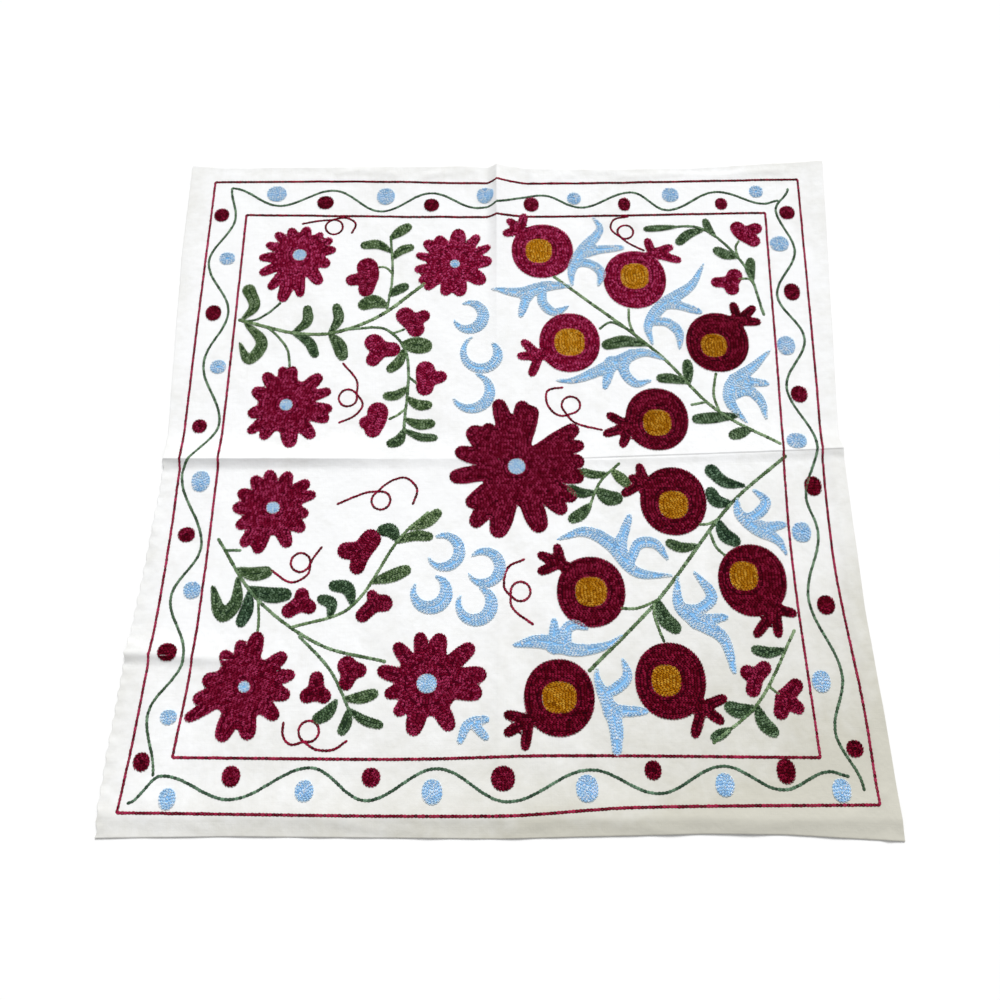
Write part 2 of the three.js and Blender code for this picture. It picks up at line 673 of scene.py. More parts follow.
@dataclass(frozen=True)
class StitchShape:
    """One stitch's mesh at its nominal length, ready to be repeated along a row."""

    length: float
    width: float
    places: np.ndarray
    faces: np.ndarray

    @classmethod
    def taken_from(cls, mesh: bmesh.types.BMesh, length: float, width: float) -> "StitchShape":
        """Reads a finished mesh, stands it on the cloth and frees it.

        Args:
            mesh: The stitch.
            length: How far one stitch steps along its row.
            width: How wide its row is.

        Returns:
            The stitch, ready to be repeated.
        """
        bmesh.ops.triangulate(mesh, faces=mesh.faces)
        bmesh.ops.recalc_face_normals(mesh, faces=mesh.faces)
        mesh.verts.index_update()
        places = places_of(mesh.verts)
        places[:, 2] -= places[:, 2].min()
        faces = np.array([[vert.index for vert in face.verts] for face in mesh.faces])
        mesh.free()
        return cls(length, width, places, faces)


def fill_link() -> StitchShape:
    """A chain link as it looks in a dense filling: two grains of thread that open to one end.

    Returns:
        The stitch of the fillings.
    """
    grain_length, grain_width, grain_height = 4.1, 1.25, 1.1
    grain_offset, grain_turn = 0.66, math.radians(13)
    mesh = bmesh.new()
    bmesh.ops.create_uvsphere(mesh, u_segments=3, v_segments=3, radius=0.5)
    bmesh.ops.rotate(mesh, verts=mesh.verts, matrix=Matrix.Rotation(math.pi / 2, 3, "Y"))
    bmesh.ops.scale(mesh, vec=(grain_length, grain_width, grain_height), verts=mesh.verts)
    bmesh.ops.rotate(mesh, verts=mesh.verts, matrix=Matrix.Rotation(grain_turn, 3, "Z"))
    bmesh.ops.translate(mesh, vec=(0, grain_offset, 0), verts=mesh.verts)
    bmesh.ops.mirror(mesh, geom=[*mesh.verts, *mesh.edges, *mesh.faces], axis="Y", merge_dist=-1)
    return StitchShape.taken_from(mesh, FILL_LENGTH, FILL_PITCH)


def line_link() -> StitchShape:
    """A chain link as it looks in a single line: a drop-shaped loop with cloth showing inside.

    Returns:
        The stitch of the single lines.
    """
    thread, loop_radius, narrow_end, stretch, flatness = 0.9, 0.93, 0.7, 1.75, 0.8
    mesh = bmesh.new()
    bmesh.ops.create_circle(mesh, segments=3, radius=thread)
    bmesh.ops.rotate(mesh, verts=mesh.verts, matrix=Matrix.Rotation(math.pi / 2, 3, "X"))
    bmesh.ops.translate(mesh, vec=(loop_radius, 0, 0), verts=mesh.verts)
    bmesh.ops.spin(
        mesh, geom=[*mesh.verts, *mesh.edges], cent=(0, 0, 0), axis=(0, 0, 1),
        angle=2 * math.pi, steps=8, use_merge=True,
    )
    bmesh.ops.scale(mesh, vec=(stretch, 1, flatness), verts=mesh.verts)
    reach = max(vert.co.x for vert in mesh.verts)
    for vert in mesh.verts:
        opened = (vert.co.x + reach) / (2 * reach)
        vert.co.y *= narrow_end + (1 - narrow_end) * math.sqrt(max(opened, 0))
    return StitchShape.taken_from(mesh, LINE_LENGTH, LINE_WIDTH)


class Needlework:
    """One piece of the embroidery: gathers its patches of painted shade and its stitches into a single
    mesh.

    Spreads are how unevenly the stitches are placed and stepped. Tones run from 0, the painted shade
    between stitches, to 1, the brightest thread, partly painted highlight. Each stitch is painted darker
    low down and lighter at its crown.
    """

    shortest_row = 0.6
    step_spread = 0.16
    place_spread = 0.1
    plain_tone = (0.42, 0.12)
    # Bright stitches are partly random tone and partly painted highlight, the glint of the thread's sheen.
    bright_share = 0.28
    bright_tone = (0.6, 0.85)
    # Painted shade and light on each stitch: darker low down, lighter at its crown.
    crown_shade = 0.45
    crown_middle = 0.6
    fill_shape = fill_link()
    line_shape = line_link()
    planner = RowPlanner(FILL_PITCH)

    def __init__(self, name: str, relief: Relief, seed: int) -> None:
        """Starts an empty piece.

        Args:
            name: The piece's name.
            relief: The folds that the stitches lie on.
            seed: Where the piece's random draws start.
        """
        self.name = name
        self.relief = relief
        self.draws = np.random.default_rng(seed)
        self.places: list[np.ndarray] = []
        self.faces: list[np.ndarray] = []
        self.tones: list[np.ndarray] = []
        self.dye_and_sheen_values: list[np.ndarray] = []
        self.count = 0

    def gather(self, places: np.ndarray, faces: np.ndarray, tone: np.ndarray, dye_and_sheen: float) -> None:
        """Adds one bunch of geometry that still lies flat, with its heights over the cloth.

        Args:
            places: Rows of x, y and height over the cloth.
            faces: Triangles of places.
            tone: The tone of each place.
            dye_and_sheen: The shade of the thread.
        """
        lifted = places.copy()
        lifted[:, 2] += CLOTH_TOP + self.relief.height(places[:, 0], places[:, 1])
        self.places.append(lifted)
        self.faces.append(faces + self.count)
        self.tones.append(tone)
        self.dye_and_sheen_values.append(np.full(len(places), dye_and_sheen))
        self.count += len(places)

    def lay(self, shape: StitchShape, row: np.ndarray, width: float, lift: float, dye_and_sheen: float) -> None:
        """Repeats a stitch along a row.

        Args:
            shape: The stitch.
            row: The chain of places that the row runs along.
            width: How wide the stitches come out.
            lift: How high over the cloth they lie.
            dye_and_sheen: The shade of the thread.
        """
        ends = even_places(row, shape.length)
        steps = np.diff(ends, axis=0)
        lengths = np.hypot(steps[:, 0], steps[:, 1])
        if lengths.sum() < self.shortest_row * shape.length:
            return
        steps += self.draws.normal(0, self.step_spread, steps.shape)
        middles = (ends[1:] + ends[:-1]) / 2 + self.draws.normal(0, self.place_spread, steps.shape)
        sideways = np.column_stack([-steps[:, 1], steps[:, 0]]) / lengths[:, None]
        along = (shape.places[:, 0] / shape.length)[None, :, None]
        across = (shape.places[:, 1] * width / shape.width)[None, :, None]
        flat = middles[:, None] + along * steps[:, None] + across * sideways[:, None]
        heights = np.broadcast_to(shape.places[:, 2] + lift, flat.shape[:2])
        places = np.concatenate([flat, heights[:, :, None]], axis=2).reshape(-1, 3)
        firsts = np.arange(len(steps)) * len(shape.places)
        faces = (shape.faces[None] + firsts[:, None, None]).reshape(-1, 3)
        plain = self.draws.normal(*self.plain_tone, len(steps))
        bright = self.draws.random(len(steps)) < self.bright_share
        chosen = np.where(bright, self.draws.uniform(*self.bright_tone, len(steps)), plain)
        # Painted shade low on each stitch and painted light on its crown.
        crown = shape.places[:, 2] / shape.places[:, 2].max()
        painted_crown_shade = self.crown_shade * (crown - self.crown_middle)
        tone = np.clip(chosen[:, None] + painted_crown_shade[None], 0, 1).ravel()
        self.gather(places, faces, tone, dye_and_sheen)

    def line(self, points: Sequence[Point], width: float = LINE_WIDTH, dye_and_sheen: float = 0.5) -> None:
        """Sews a single line of chain stitch along a smooth curve."""
        self.lay(self.line_shape, smooth_path(points, PATH_STEP), width, 0.0, dye_and_sheen)

    def fill(self, motif: Motif) -> None:
        """Fills a motif with rows of stitches over a thin patch of the same thread, in its painted shade.

        Args:
            motif: The shape that is filled.
        """
        self.patch(motif)
        for row in self.planner.rows(motif):
            self.lay(self.fill_shape, row[:, :2], FILL_PITCH, PATCH_LIFT, motif.dye_and_sheen)

    def patch(self, motif: Motif) -> None:
        """Lays the thin closed patch that shows between a motif's stitches, in the thread's darkest tone as
        painted shade.

        Args:
            motif: The shape that it lies under.
        """
        # The patch takes the darkest tone: painted shade between the stitches.
        inset, tone, least_cell = 0.9, 0.05, 4.0
        mesh = region_mesh(motif, max(2 * motif.cell, least_cell), inset)
        for vert in mesh.verts:
            vert.co.z = -PATCH_LIFT
        lifted = bmesh.ops.extrude_face_region(mesh, geom=mesh.faces[:])["geom"]
        raised = [part for part in lifted if isinstance(part, bmesh.types.BMVert)]
        bmesh.ops.translate(mesh, vec=(0, 0, 2 * PATCH_LIFT), verts=raised)
        bmesh.ops.triangulate(mesh, faces=mesh.faces)
        bmesh.ops.recalc_face_normals(mesh, faces=mesh.faces)
        mesh.verts.index_update()
        faces = np.array([[vert.index for vert in face.verts] for face in mesh.faces])
        places = places_of(mesh.verts)
        mesh.free()
        self.gather(places, faces, np.full(len(places), tone), motif.dye_and_sheen)

    def finished(self, thread: "ThreadFinish") -> bpy.types.Object:
        """Makes the piece's object, dresses it in its thread and reports it.

        Args:
            thread: The thread that it is sewn with.

        Returns:
            The piece.
        """
        mesh = bpy.data.meshes.new(self.name)
        places = np.concatenate(self.places) * MM
        faces = np.concatenate(self.faces)
        mesh.from_pydata(places.tolist(), [], faces.tolist())
        for name, values in (("tone", self.tones), ("dye_and_sheen", self.dye_and_sheen_values)):
            layer = mesh.attributes.new(name, "FLOAT", "POINT")
            layer.data.foreach_set("value", np.concatenate(values).astype(np.float32))
        mesh.shade_smooth()
        mesh.materials.append(thread.material())
        piece = bpy.data.objects.new(self.name, mesh)
        bpy.context.collection.objects.link(piece)
        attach(piece, BODY)
        log.info("%s: %d triangles", self.name, len(faces))
        return piece


# Finishes.
def linear(code: str) -> tuple[float, float, float, float]:
    """A colour given as six hex digits, as the linear numbers that a shader takes.

    Args:
        code: Two hex digits each of red, green and blue.

    Returns:
        Red, green, blue and a full alpha.
    """
    shares = [int(code[start : start + 2], 16) / 255 for start in (0, 2, 4)]
    red, green, blue = (
        share / 12.92 if share <= 0.04045 else ((share + 0.055) / 1.055) ** 2.4 for share in shares
    )
    return (red, green, blue, 1.0)


class NodeBoard:
    """Adds nodes to a tree and joins them in short lines."""

    def __init__(self, tree: bpy.types.NodeTree) -> None:
        """Keeps the tree that nodes are added to."""
        self.tree = tree

    def add(self, kind: str, **settings: object) -> bpy.types.Node:
        """Adds a node and gives it its settings.

        Args:
            kind: The node's type.
            settings: The properties that are set on it.

        Returns:
            The node.
        """
        node = self.tree.nodes.new(kind)
        for name, value in settings.items():
            setattr(node, name, value)
        return node

    def feed(self, target: bpy.types.NodeSocket, source: object) -> None:
        """Joins a socket to its source, or sets it to a plain value.

        Args:
            target: The input.
            source: An output, or the value that is set.
        """
        if isinstance(source, bpy.types.NodeSocket):
            self.tree.links.new(source, target)
        else:
            target.default_value = source

    def sum(self, operation: str, *values: object) -> bpy.types.NodeSocket:
        """A Math node of the given operation on sockets or plain numbers.

        Args:
            operation: What the node works out.
            values: Its inputs in order.

        Returns:
            The result.
        """
        node = self.add("ShaderNodeMath", operation=operation)
        for socket, value in zip(node.inputs, values):
            self.feed(socket, value)
        return node.outputs[0]

    def mix(self, share: object, first: object, second: object) -> bpy.types.NodeSocket:
        """A colour mixed from two.

        Args:
            share: How much of the second there is.
            first: The colour at 0.
            second: The colour at 1.

        Returns:
            The mixed colour.
        """
        node = self.add("ShaderNodeMix", data_type="RGBA")
        self.feed(node.inputs["Factor"], share)
        self.feed(node.inputs["A"], first)
        self.feed(node.inputs["B"], second)
        return node.outputs["Result"]

    def ramp(self, share: object, stops: Sequence[tuple[float, str]]) -> bpy.types.NodeSocket:
        """A colour read from a ramp of stops, each a share and a hex code.

        Args:
            share: Where the ramp is read.
            stops: The stops from low to high.

        Returns:
            The colour.
        """
        node = self.add("ShaderNodeValToRGB")
        elements = node.color_ramp.elements
        while len(elements) < len(stops):
            elements.new(0.5)
        for element, (place, code) in zip(elements, stops):
            element.position = place
            element.color = linear(code)
        self.feed(node.inputs[0], share)
        return node.outputs[0]

    def noise(self, place: object, scale: object, detail: float = 2.0) -> bpy.types.NodeSocket:
        """The value of a noise texture.

        Args:
            place: Where the noise is read.
            scale: Its fineness.
            detail: Its finer layers.

        Returns:
            The noise, from 0 to 1.
        """
        node = self.add("ShaderNodeTexNoise")
        self.feed(node.inputs["Vector"], place)
        self.feed(node.inputs["Scale"], scale)
        self.feed(node.inputs["Detail"], detail)
        return node.outputs["Fac"]


class SharedEffect:
    """A shader node group that several materials place, each with its own values."""

    name = "shared_effect"
    inputs: tuple[tuple[str, str], ...] = ()
    outputs: tuple[tuple[str, str], ...] = ()

    @classmethod
    def group(cls) -> bpy.types.NodeTree:
        """The effect's node group, built the first time that it is asked for.

        Returns:
            The node group.
        """
        known = bpy.data.node_groups.get(cls.name)
        if known is not None:
            return known
        tree = bpy.data.node_groups.new(cls.name, "ShaderNodeTree")
        for name, kind in cls.inputs:
            tree.interface.new_socket(name, in_out="INPUT", socket_type=kind)
        for name, kind in cls.outputs:
            tree.interface.new_socket(name, in_out="OUTPUT", socket_type=kind)
        board = NodeBoard(tree)
        source = board.add("NodeGroupInput")
        target = board.add("NodeGroupOutput")
        cls.build(board, source, target)
        return tree

    @classmethod
    def build(cls, board: NodeBoard, source: bpy.types.Node, target: bpy.types.Node) -> None:
        """Fills the group with its nodes."""
        raise NotImplementedError

    @classmethod
    def placed(cls, board: NodeBoard, **values: object) -> bpy.types.Node:
        """Places the effect in a material.

        Args:
            board: The material's nodes.
            values: The group's inputs by name.

        Returns:
            The group's node.
        """
        node = board.add("ShaderNodeGroup", node_tree=cls.group())
        for name, value in values.items():
            board.feed(node.inputs[name], value)
        return node


class Mottle(SharedEffect):
    """Broad uneven patches with finer ones over them."""

    name = "mottle"
    inputs = (("Place", "NodeSocketVector"), ("Broad", "NodeSocketFloat"), ("Fine", "NodeSocketFloat"))
    outputs = (("Mottle", "NodeSocketFloat"),)

    @classmethod
    def build(cls, board: NodeBoard, source: bpy.types.Node, target: bpy.types.Node) -> None:
        """Mixes a broad and a fine noise.

        Args:
            board: What adds nodes to the group.
            source: The group's inputs.
            target: The group's outputs.
        """
        broad = board.noise(source.outputs["Place"], source.outputs["Broad"])
        fine = board.noise(source.outputs["Place"], source.outputs["Fine"], 4.0)
        both = board.sum("ADD", board.sum("MULTIPLY", broad, 0.6), board.sum("MULTIPLY", fine, 0.4))
        board.feed(target.inputs["Mottle"], both)


class PlainWeave(SharedEffect):
    """Plain-woven cloth: threads that pass over and under each other, with thicker slubs."""

    name = "plain_weave"
    inputs = (("Place", "NodeSocketVector"), ("Threads", "NodeSocketFloat"))
    outputs = (("Weave", "NodeSocketFloat"), ("Slub", "NodeSocketFloat"))

    @classmethod
    def build(cls, board: NodeBoard, source: bpy.types.Node, target: bpy.types.Node) -> None:
        """Crosses two sine waves, and stretches two noises for the slubs.

        Args:
            board: What adds nodes to the group.
            source: The group's inputs.
            target: The group's outputs.
        """
        parts = board.add("ShaderNodeSeparateXYZ")
        board.feed(parts.inputs[0], source.outputs["Place"])
        number = board.sum("MULTIPLY", source.outputs["Threads"], math.pi)
        waves = [
            board.sum("SINE", board.sum("MULTIPLY", parts.outputs[axis], number)) for axis in (0, 1)
        ]
        crossed = board.sum("MULTIPLY", waves[0], waves[1])
        board.feed(target.inputs["Weave"], board.sum("MULTIPLY_ADD", crossed, 0.5, 0.5))
        slubs = []
        for stretch in ((14.0, 700.0, 1.0), (700.0, 14.0, 1.0)):
            mapping = board.add("ShaderNodeMapping")
            board.feed(mapping.inputs["Vector"], source.outputs["Place"])
            board.feed(mapping.inputs["Scale"], stretch)
            slubs.append(board.noise(mapping.outputs[0], 1.0))
        both = board.sum("MAXIMUM", slubs[0], slubs[1])
        board.feed(target.inputs["Slub"], board.sum("MULTIPLY_ADD", both, 3.0, -1.6))


class TwistedPly(SharedEffect):
    """The fine fibres and twist of embroidery thread."""

    name = "twisted_ply"
    inputs = (("Place", "NodeSocketVector"), ("Fineness", "NodeSocketFloat"))
    outputs = (("Ply", "NodeSocketFloat"),)

    @classmethod
    def build(cls, board: NodeBoard, source: bpy.types.Node, target: bpy.types.Node) -> None:
        """Sharpens a fine noise into short fibres."""
        fibres = board.noise(source.outputs["Place"], source.outputs["Fineness"], 3.0)
        board.feed(target.inputs["Ply"], board.sum("MULTIPLY_ADD", fibres, 2.2, -0.6))


@dataclass(frozen=True)
class ThreadFinish:
    """One colour of embroidery thread, from its deeper to its fresher lot, the fresher partly painted
    sheen.

    Each lot is the painted shade between stitches, the colour of most stitches, and the brightest
    stitches, partly painted highlight.
    """

    slot: str
    deep_lot_less_sheen: tuple[str, str, str]
    fresh_lot_more_sheen: tuple[str, str, str]
    roughness: float = 0.72
    sheen: float = 0.01
    unevenness: float = 0.25
    fibre_shade: float = 0.36
    fibre_floor: float = 0.8
    fibre_roughness: float = 0.16

    def material(self) -> bpy.types.Material:
        """The thread's material, made the first time that it is asked for.

        Returns:
            The material.
        """
        known = bpy.data.materials.get(self.slot)
        if known is not None:
            return known
        material = bpy.data.materials.new(self.slot)
        material.use_nodes = True
        board = NodeBoard(material.node_tree)
        shader = material.node_tree.nodes["Principled BSDF"]
        place = board.add("ShaderNodeTexCoord").outputs["Object"]
        tone = board.add("ShaderNodeAttribute", attribute_name="tone").outputs["Fac"]
        dye_and_sheen = board.add("ShaderNodeAttribute", attribute_name="dye_and_sheen").outputs["Fac"]
        mottle = Mottle.placed(board, Place=place, Broad=24.0, Fine=900.0).outputs["Mottle"]
        ply = TwistedPly.placed(board, Place=place, Fineness=1100.0).outputs["Ply"]
        uneven = board.sum("MULTIPLY", board.sum("SUBTRACT", mottle, 0.5), self.unevenness)
        # The ramp runs from the painted shade between stitches through most stitches to the brightest,
        # partly painted highlights.
        lots = [
            board.ramp(tone, ((0.1, lot[0]), (0.45, lot[1]), (1.0, lot[2])))
            for lot in (self.deep_lot_less_sheen, self.fresh_lot_more_sheen)
        ]
        # A higher share gives more of the fresher lot, which is partly painted sheen where the light falls.
        colour = board.mix(board.sum("ADD", dye_and_sheen, uneven), lots[0], lots[1])
        worn = board.sum("MULTIPLY_ADD", ply, self.fibre_shade, self.fibre_floor)
        shaded = board.add("ShaderNodeVectorMath", operation="SCALE")
        board.feed(shaded.inputs[0], colour)
        board.feed(shaded.inputs["Scale"], worn)
        board.feed(shader.inputs["Base Color"], shaded.outputs[0])
        smoothest = self.roughness - self.fibre_roughness / 2
        rough = board.sum("MULTIPLY_ADD", ply, self.fibre_roughness, smoothest)
        board.feed(shader.inputs["Roughness"], rough)
        bump = board.add("ShaderNodeBump")
        bump.inputs["Strength"].default_value = 0.35
        bump.inputs["Distance"].default_value = 0.0002
        board.feed(bump.inputs["Height"], ply)
        board.feed(shader.inputs["Normal"], bump.outputs[0])
        shader.inputs["Sheen Weight"].default_value = self.sheen
        shader.inputs["Sheen Roughness"].default_value = 0.4
        shader.inputs["Specular IOR Level"].default_value = 0.03
        return material


BURGUNDY = ThreadFinish(
    slot="thread_burgundy",
    deep_lot_less_sheen=("280008", "5e000e", "aa0c36"),
    fresh_lot_more_sheen=("58001c", "a8043a", "f25c98"),
)
BLUE = ThreadFinish(
    slot="thread_blue",
    deep_lot_less_sheen=("7ab2e6", "c2e8ff", "ffffff"),
    fresh_lot_more_sheen=("8ec6f2", "d6f1ff", "ffffff"),
    unevenness=0.6,
)
GREEN = ThreadFinish(
    slot="thread_green",
    deep_lot_less_sheen=("1a2c22", "36543e", "80a488"),
    fresh_lot_more_sheen=("34482a", "789658", "c4d8a6"),
    unevenness=0.4,
)
GOLD = ThreadFinish(
    slot="thread_gold",
    deep_lot_less_sheen=("643402", "ba7405", "f0b232"),
    fresh_lot_more_sheen=("8c4e06", "ea9e0a", "ffd45a"),
    unevenness=0.7,
)


@dataclass(frozen=True)
class CottonFinish:
    """The off-white plain-woven cotton of the ground cloth.

    Painted shade darkens and warms it towards its near right corner, where the light falls off,
    and it is greyer within about 50 mm of its edges.
    """

    slot: str = "ground_cotton"
    white: str = "f5f6f7"
    cream_and_shade: str = "cbc9bd"
    slub: str = "dcd6c6"
    corner_slope: Point = (0.87, -1.87)
    greyer_from: float = 0.4
    greyer_rise: float = 5.0
    patchiness: float = 1.1
    threads: float = 1250.0
    roughness: float = 0.88

    def material(self) -> bpy.types.Material:
        """Makes the cotton's material.

        Returns:
            The material.
        """
        material = bpy.data.materials.new(self.slot)
        material.use_nodes = True
        board = NodeBoard(material.node_tree)
        shader = material.node_tree.nodes["Principled BSDF"]
        place = board.add("ShaderNodeTexCoord").outputs["Object"]
        flat = board.add("ShaderNodeUVMap", uv_map="flat_cloth").outputs[0]
        mottle = Mottle.placed(board, Place=place, Broad=9.0, Fine=75.0).outputs["Mottle"]
        weave = PlainWeave.placed(board, Place=flat, Threads=self.threads)
        axes = board.add("ShaderNodeSeparateXYZ")
        board.feed(axes.inputs[0], place)
        # Painted shade: darker and warmer towards the near right corner, where the light falls off.
        sideways = board.sum("MULTIPLY", axes.outputs["X"], self.corner_slope[0])
        slope = board.sum("MULTIPLY_ADD", axes.outputs["Y"], self.corner_slope[1], sideways)
        # Greyer within about 50 mm of the edges.
        across = board.sum("ABSOLUTE", axes.outputs["X"])
        along = board.sum("ABSOLUTE", axes.outputs["Y"])
        outside = board.sum("SUBTRACT", board.sum("MAXIMUM", across, along), self.greyer_from)
        greyer_margin = board.sum("MULTIPLY", board.sum("MAXIMUM", outside, 0.0), self.greyer_rise)
        corner_shade = board.sum("POWER", board.sum("MAXIMUM", slope, 0.0), 2.0)
        shade_and_margin = board.sum("ADD", corner_shade, greyer_margin)
        patches = board.sum("SUBTRACT", mottle, 0.5)
        patchy = board.sum("MULTIPLY_ADD", patches, self.patchiness, shade_and_margin)
        colour = board.mix(patchy, linear(self.white), linear(self.cream_and_shade))
        slub = board.sum("MULTIPLY", weave.outputs["Slub"], 0.12)
        board.feed(shader.inputs["Base Color"], board.mix(slub, colour, linear(self.slub)))
        rough = board.sum("MULTIPLY_ADD", mottle, 0.1, self.roughness - 0.05)
        board.feed(shader.inputs["Roughness"], rough)
        threads = board.add("ShaderNodeBump")
        threads.inputs["Strength"].default_value = 0.25
        threads.inputs["Distance"].default_value = 0.0002
        woven = board.sum("ADD", weave.outputs["Weave"], weave.outputs["Slub"])
        board.feed(threads.inputs["Height"], woven)
        wrinkles = board.add("ShaderNodeBump")
        wrinkles.inputs["Strength"].default_value = 0.6
        wrinkles.inputs["Distance"].default_value = 0.0016
        crumple = Mottle.placed(board, Place=place, Broad=55.0, Fine=150.0)
        board.feed(wrinkles.inputs["Height"], crumple.outputs["Mottle"])
        board.feed(wrinkles.inputs["Normal"], threads.outputs[0])
        board.feed(shader.inputs["Normal"], wrinkles.outputs[0])
        shader.inputs["Sheen Weight"].default_value = 0.08
        shader.inputs["Specular IOR Level"].default_value = 0.2
        return material


class Span(NamedTuple):
    """A stretch of grid lines across the flat square, about a step apart."""

    start: float
    end: float
    step: float


@dataclass
class GroundCloth:
    """The ground cloth: a thin closed sheet on its folds, rounded off along its hemmed edges."""

    relief: Relief
    finish: CottonFinish = CottonFinish()
    name: str = "ground_cloth_sheet"
    rounded_hem: float = 1.8
    hem_edge_share: float = 0.5
    crest_column: float = -5.0
    crest_row: float = 0.0
    drawn_reach: float = 100.0
    hem_wobble: float = 1.2
    far_wobble_share: float = 0.3
    columns: tuple[Span, ...] = (
        Span(-450, -449, 0.5), Span(-449, -447, 1), Span(-447, -424, 4), Span(-424, -60, 7.4),
        Span(-60, -20, 5), Span(-20, -7, 2.6), Span(-7, -3, 0.8), Span(-3, 41, 3.4),
        Span(41, 130, 4), Span(130, 424, 7.4), Span(424, 447, 4), Span(447, 449, 1), Span(449, 450, 0.5),
    )
    rows: tuple[Span, ...] = (
        Span(-450, -449, 0.5), Span(-449, -447, 1), Span(-447, -396, 3.6), Span(-396, -265, 4.3),
        Span(-265, -218, 3), Span(-218, -14, 4.3), Span(-14, -2, 2.4), Span(-2, 2, 0.8),
        Span(2, 42, 4), Span(42, 396, 6.5), Span(396, 447, 3.4), Span(447, 449, 1), Span(449, 450, 0.5),
    )

    @staticmethod
    def grid_lines(spans: Sequence[Span]) -> np.ndarray:
        """The grid lines that a row of spans gives.

        Args:
            spans: The spans, end to end.

        Returns:
            The lines' places from low to high.
        """
        lines = [np.array([spans[0].start])]
        for span in spans:
            count = max(1, round((span.end - span.start) / span.step))
            lines.append(np.linspace(span.start, span.end, count + 1)[1:])
        return np.concatenate(lines)

    @staticmethod
    def between(low: np.ndarray, high: np.ndarray, line: np.ndarray | float) -> np.ndarray:
        """A place between two edges for a grid line of the flat square."""
        return low + (high - low) * (line + HALF_SIDE) / (2 * HALF_SIDE)

    def drawn_share(self, line: np.ndarray, crest_line: float) -> np.ndarray:
        """How strongly a grid line is drawn along with the one on a crest."""
        return np.clip(1 - np.abs(line - crest_line) / self.drawn_reach, 0, None)

    def lay(self, column: np.ndarray, row: np.ndarray) -> tuple[np.ndarray, np.ndarray]:
        """Where points of the flat square lie once the cloth is laid out.

        Args:
            column: Each point's place along X on the flat square.
            row: Each point's place along Y on it.

        Returns:
            The places along X and along Y.
        """
        left, right = -table_at(LEFT_EDGE, row), table_at(RIGHT_EDGE, row)
        near, far = -table_at(NEAR_EDGE, column), table_at(FAR_EDGE, column)
        long_shift = table_at(LONG_FOLD.crest, row) - self.between(left, right, self.crest_column)
        cross_shift = table_at(CROSS_FOLD.crest, column) - self.between(near, far, self.crest_row)
        x = self.between(left, right, column) + long_shift * self.drawn_share(column, self.crest_column)
        y = self.between(near, far, row) + cross_shift * self.drawn_share(row, self.crest_row)
        wobble = self.hem_wobble * self.relief.pucker_wave(row)
        inward = np.clip(1 - (column + HALF_SIDE) / self.relief.pucker_reach, 0, 1)
        strength = np.where(row < 0, 1.0, self.far_wobble_share)
        return x + wobble * inward * strength, y

    def build(self) -> bpy.types.Object:
        """Returns:
            The sheet.
        """
        columns, rows = self.grid_lines(self.columns), self.grid_lines(self.rows)
        across, along = len(columns) - 1, len(rows) - 1
        net = bmesh.new()
        bmesh.ops.create_grid(net, x_segments=across, y_segments=along, size=0.5)
        lifted = bmesh.ops.extrude_face_region(net, geom=net.faces[:])["geom"]
        raised = [part for part in lifted if isinstance(part, bmesh.types.BMVert)]
        bmesh.ops.translate(net, vec=(0, 0, 1), verts=raised)
        bmesh.ops.recalc_face_normals(net, faces=net.faces)
        mesh = bpy.data.meshes.new(self.name)
        net.to_mesh(mesh)
        net.free()
        places = np.zeros(len(mesh.vertices) * 3)
        mesh.vertices.foreach_get("co", places)
        places = places.reshape(-1, 3)
        span = np.abs(places[:, :2]).max(axis=0) * 2
        column = columns[np.rint((places[:, 0] / span[0] + 0.5) * across).astype(int)]
        row = rows[np.rint((places[:, 1] / span[1] + 0.5) * along).astype(int)]
        x, y = self.lay(column, row)
        inside = HALF_SIDE - np.maximum(np.abs(column), np.abs(row))
        painted_crown_shade = np.sqrt(1 - (1 - np.clip(inside / self.rounded_hem, 0, 1)) ** 2)
        top = CLOTH_TOP * (self.hem_edge_share + (1 - self.hem_edge_share) * painted_crown_shade)
        z = self.relief.height(x, y) + np.where(places[:, 2] > 0.5, top, UNDERSIDE)
        mesh.vertices.foreach_set("co", (np.column_stack([x, y, z]) * MM).ravel())
        self.add_flat_map(mesh, column, row)
        mesh.shade_smooth()
        mesh.materials.append(self.finish.material())
        sheet = bpy.data.objects.new(self.name, mesh)
        bpy.context.collection.objects.link(sheet)
        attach(sheet, BODY)
        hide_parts("ground_cloth")
        log.info("%s: %d faces", self.name, len(mesh.polygons))
        return sheet

    @staticmethod
    def add_flat_map(mesh: bpy.types.Mesh, column: np.ndarray, row: np.ndarray) -> None:
        """Adds a UV map that holds each point's place on the flat square, in metres.

        Args:
            mesh: The sheet's mesh.
            column: Each point's place along X.
            row: Each point's place along Y.
        """
        corners = np.zeros(len(mesh.loops), dtype=int)
        mesh.loops.foreach_get("vertex_index", corners)
        flat = np.column_stack([column, row])[corners] * MM
        layer = mesh.uv_layers.new(name="flat_cloth")
        layer.uv.foreach_set("vector", flat.ravel())


# The border of the pattern.
class BorderSide(NamedTuple):
    """One side of a border line, with its width and the shade of its thread."""

    width: float
    dye_and_sheen: float
    path: tuple[Point, ...]


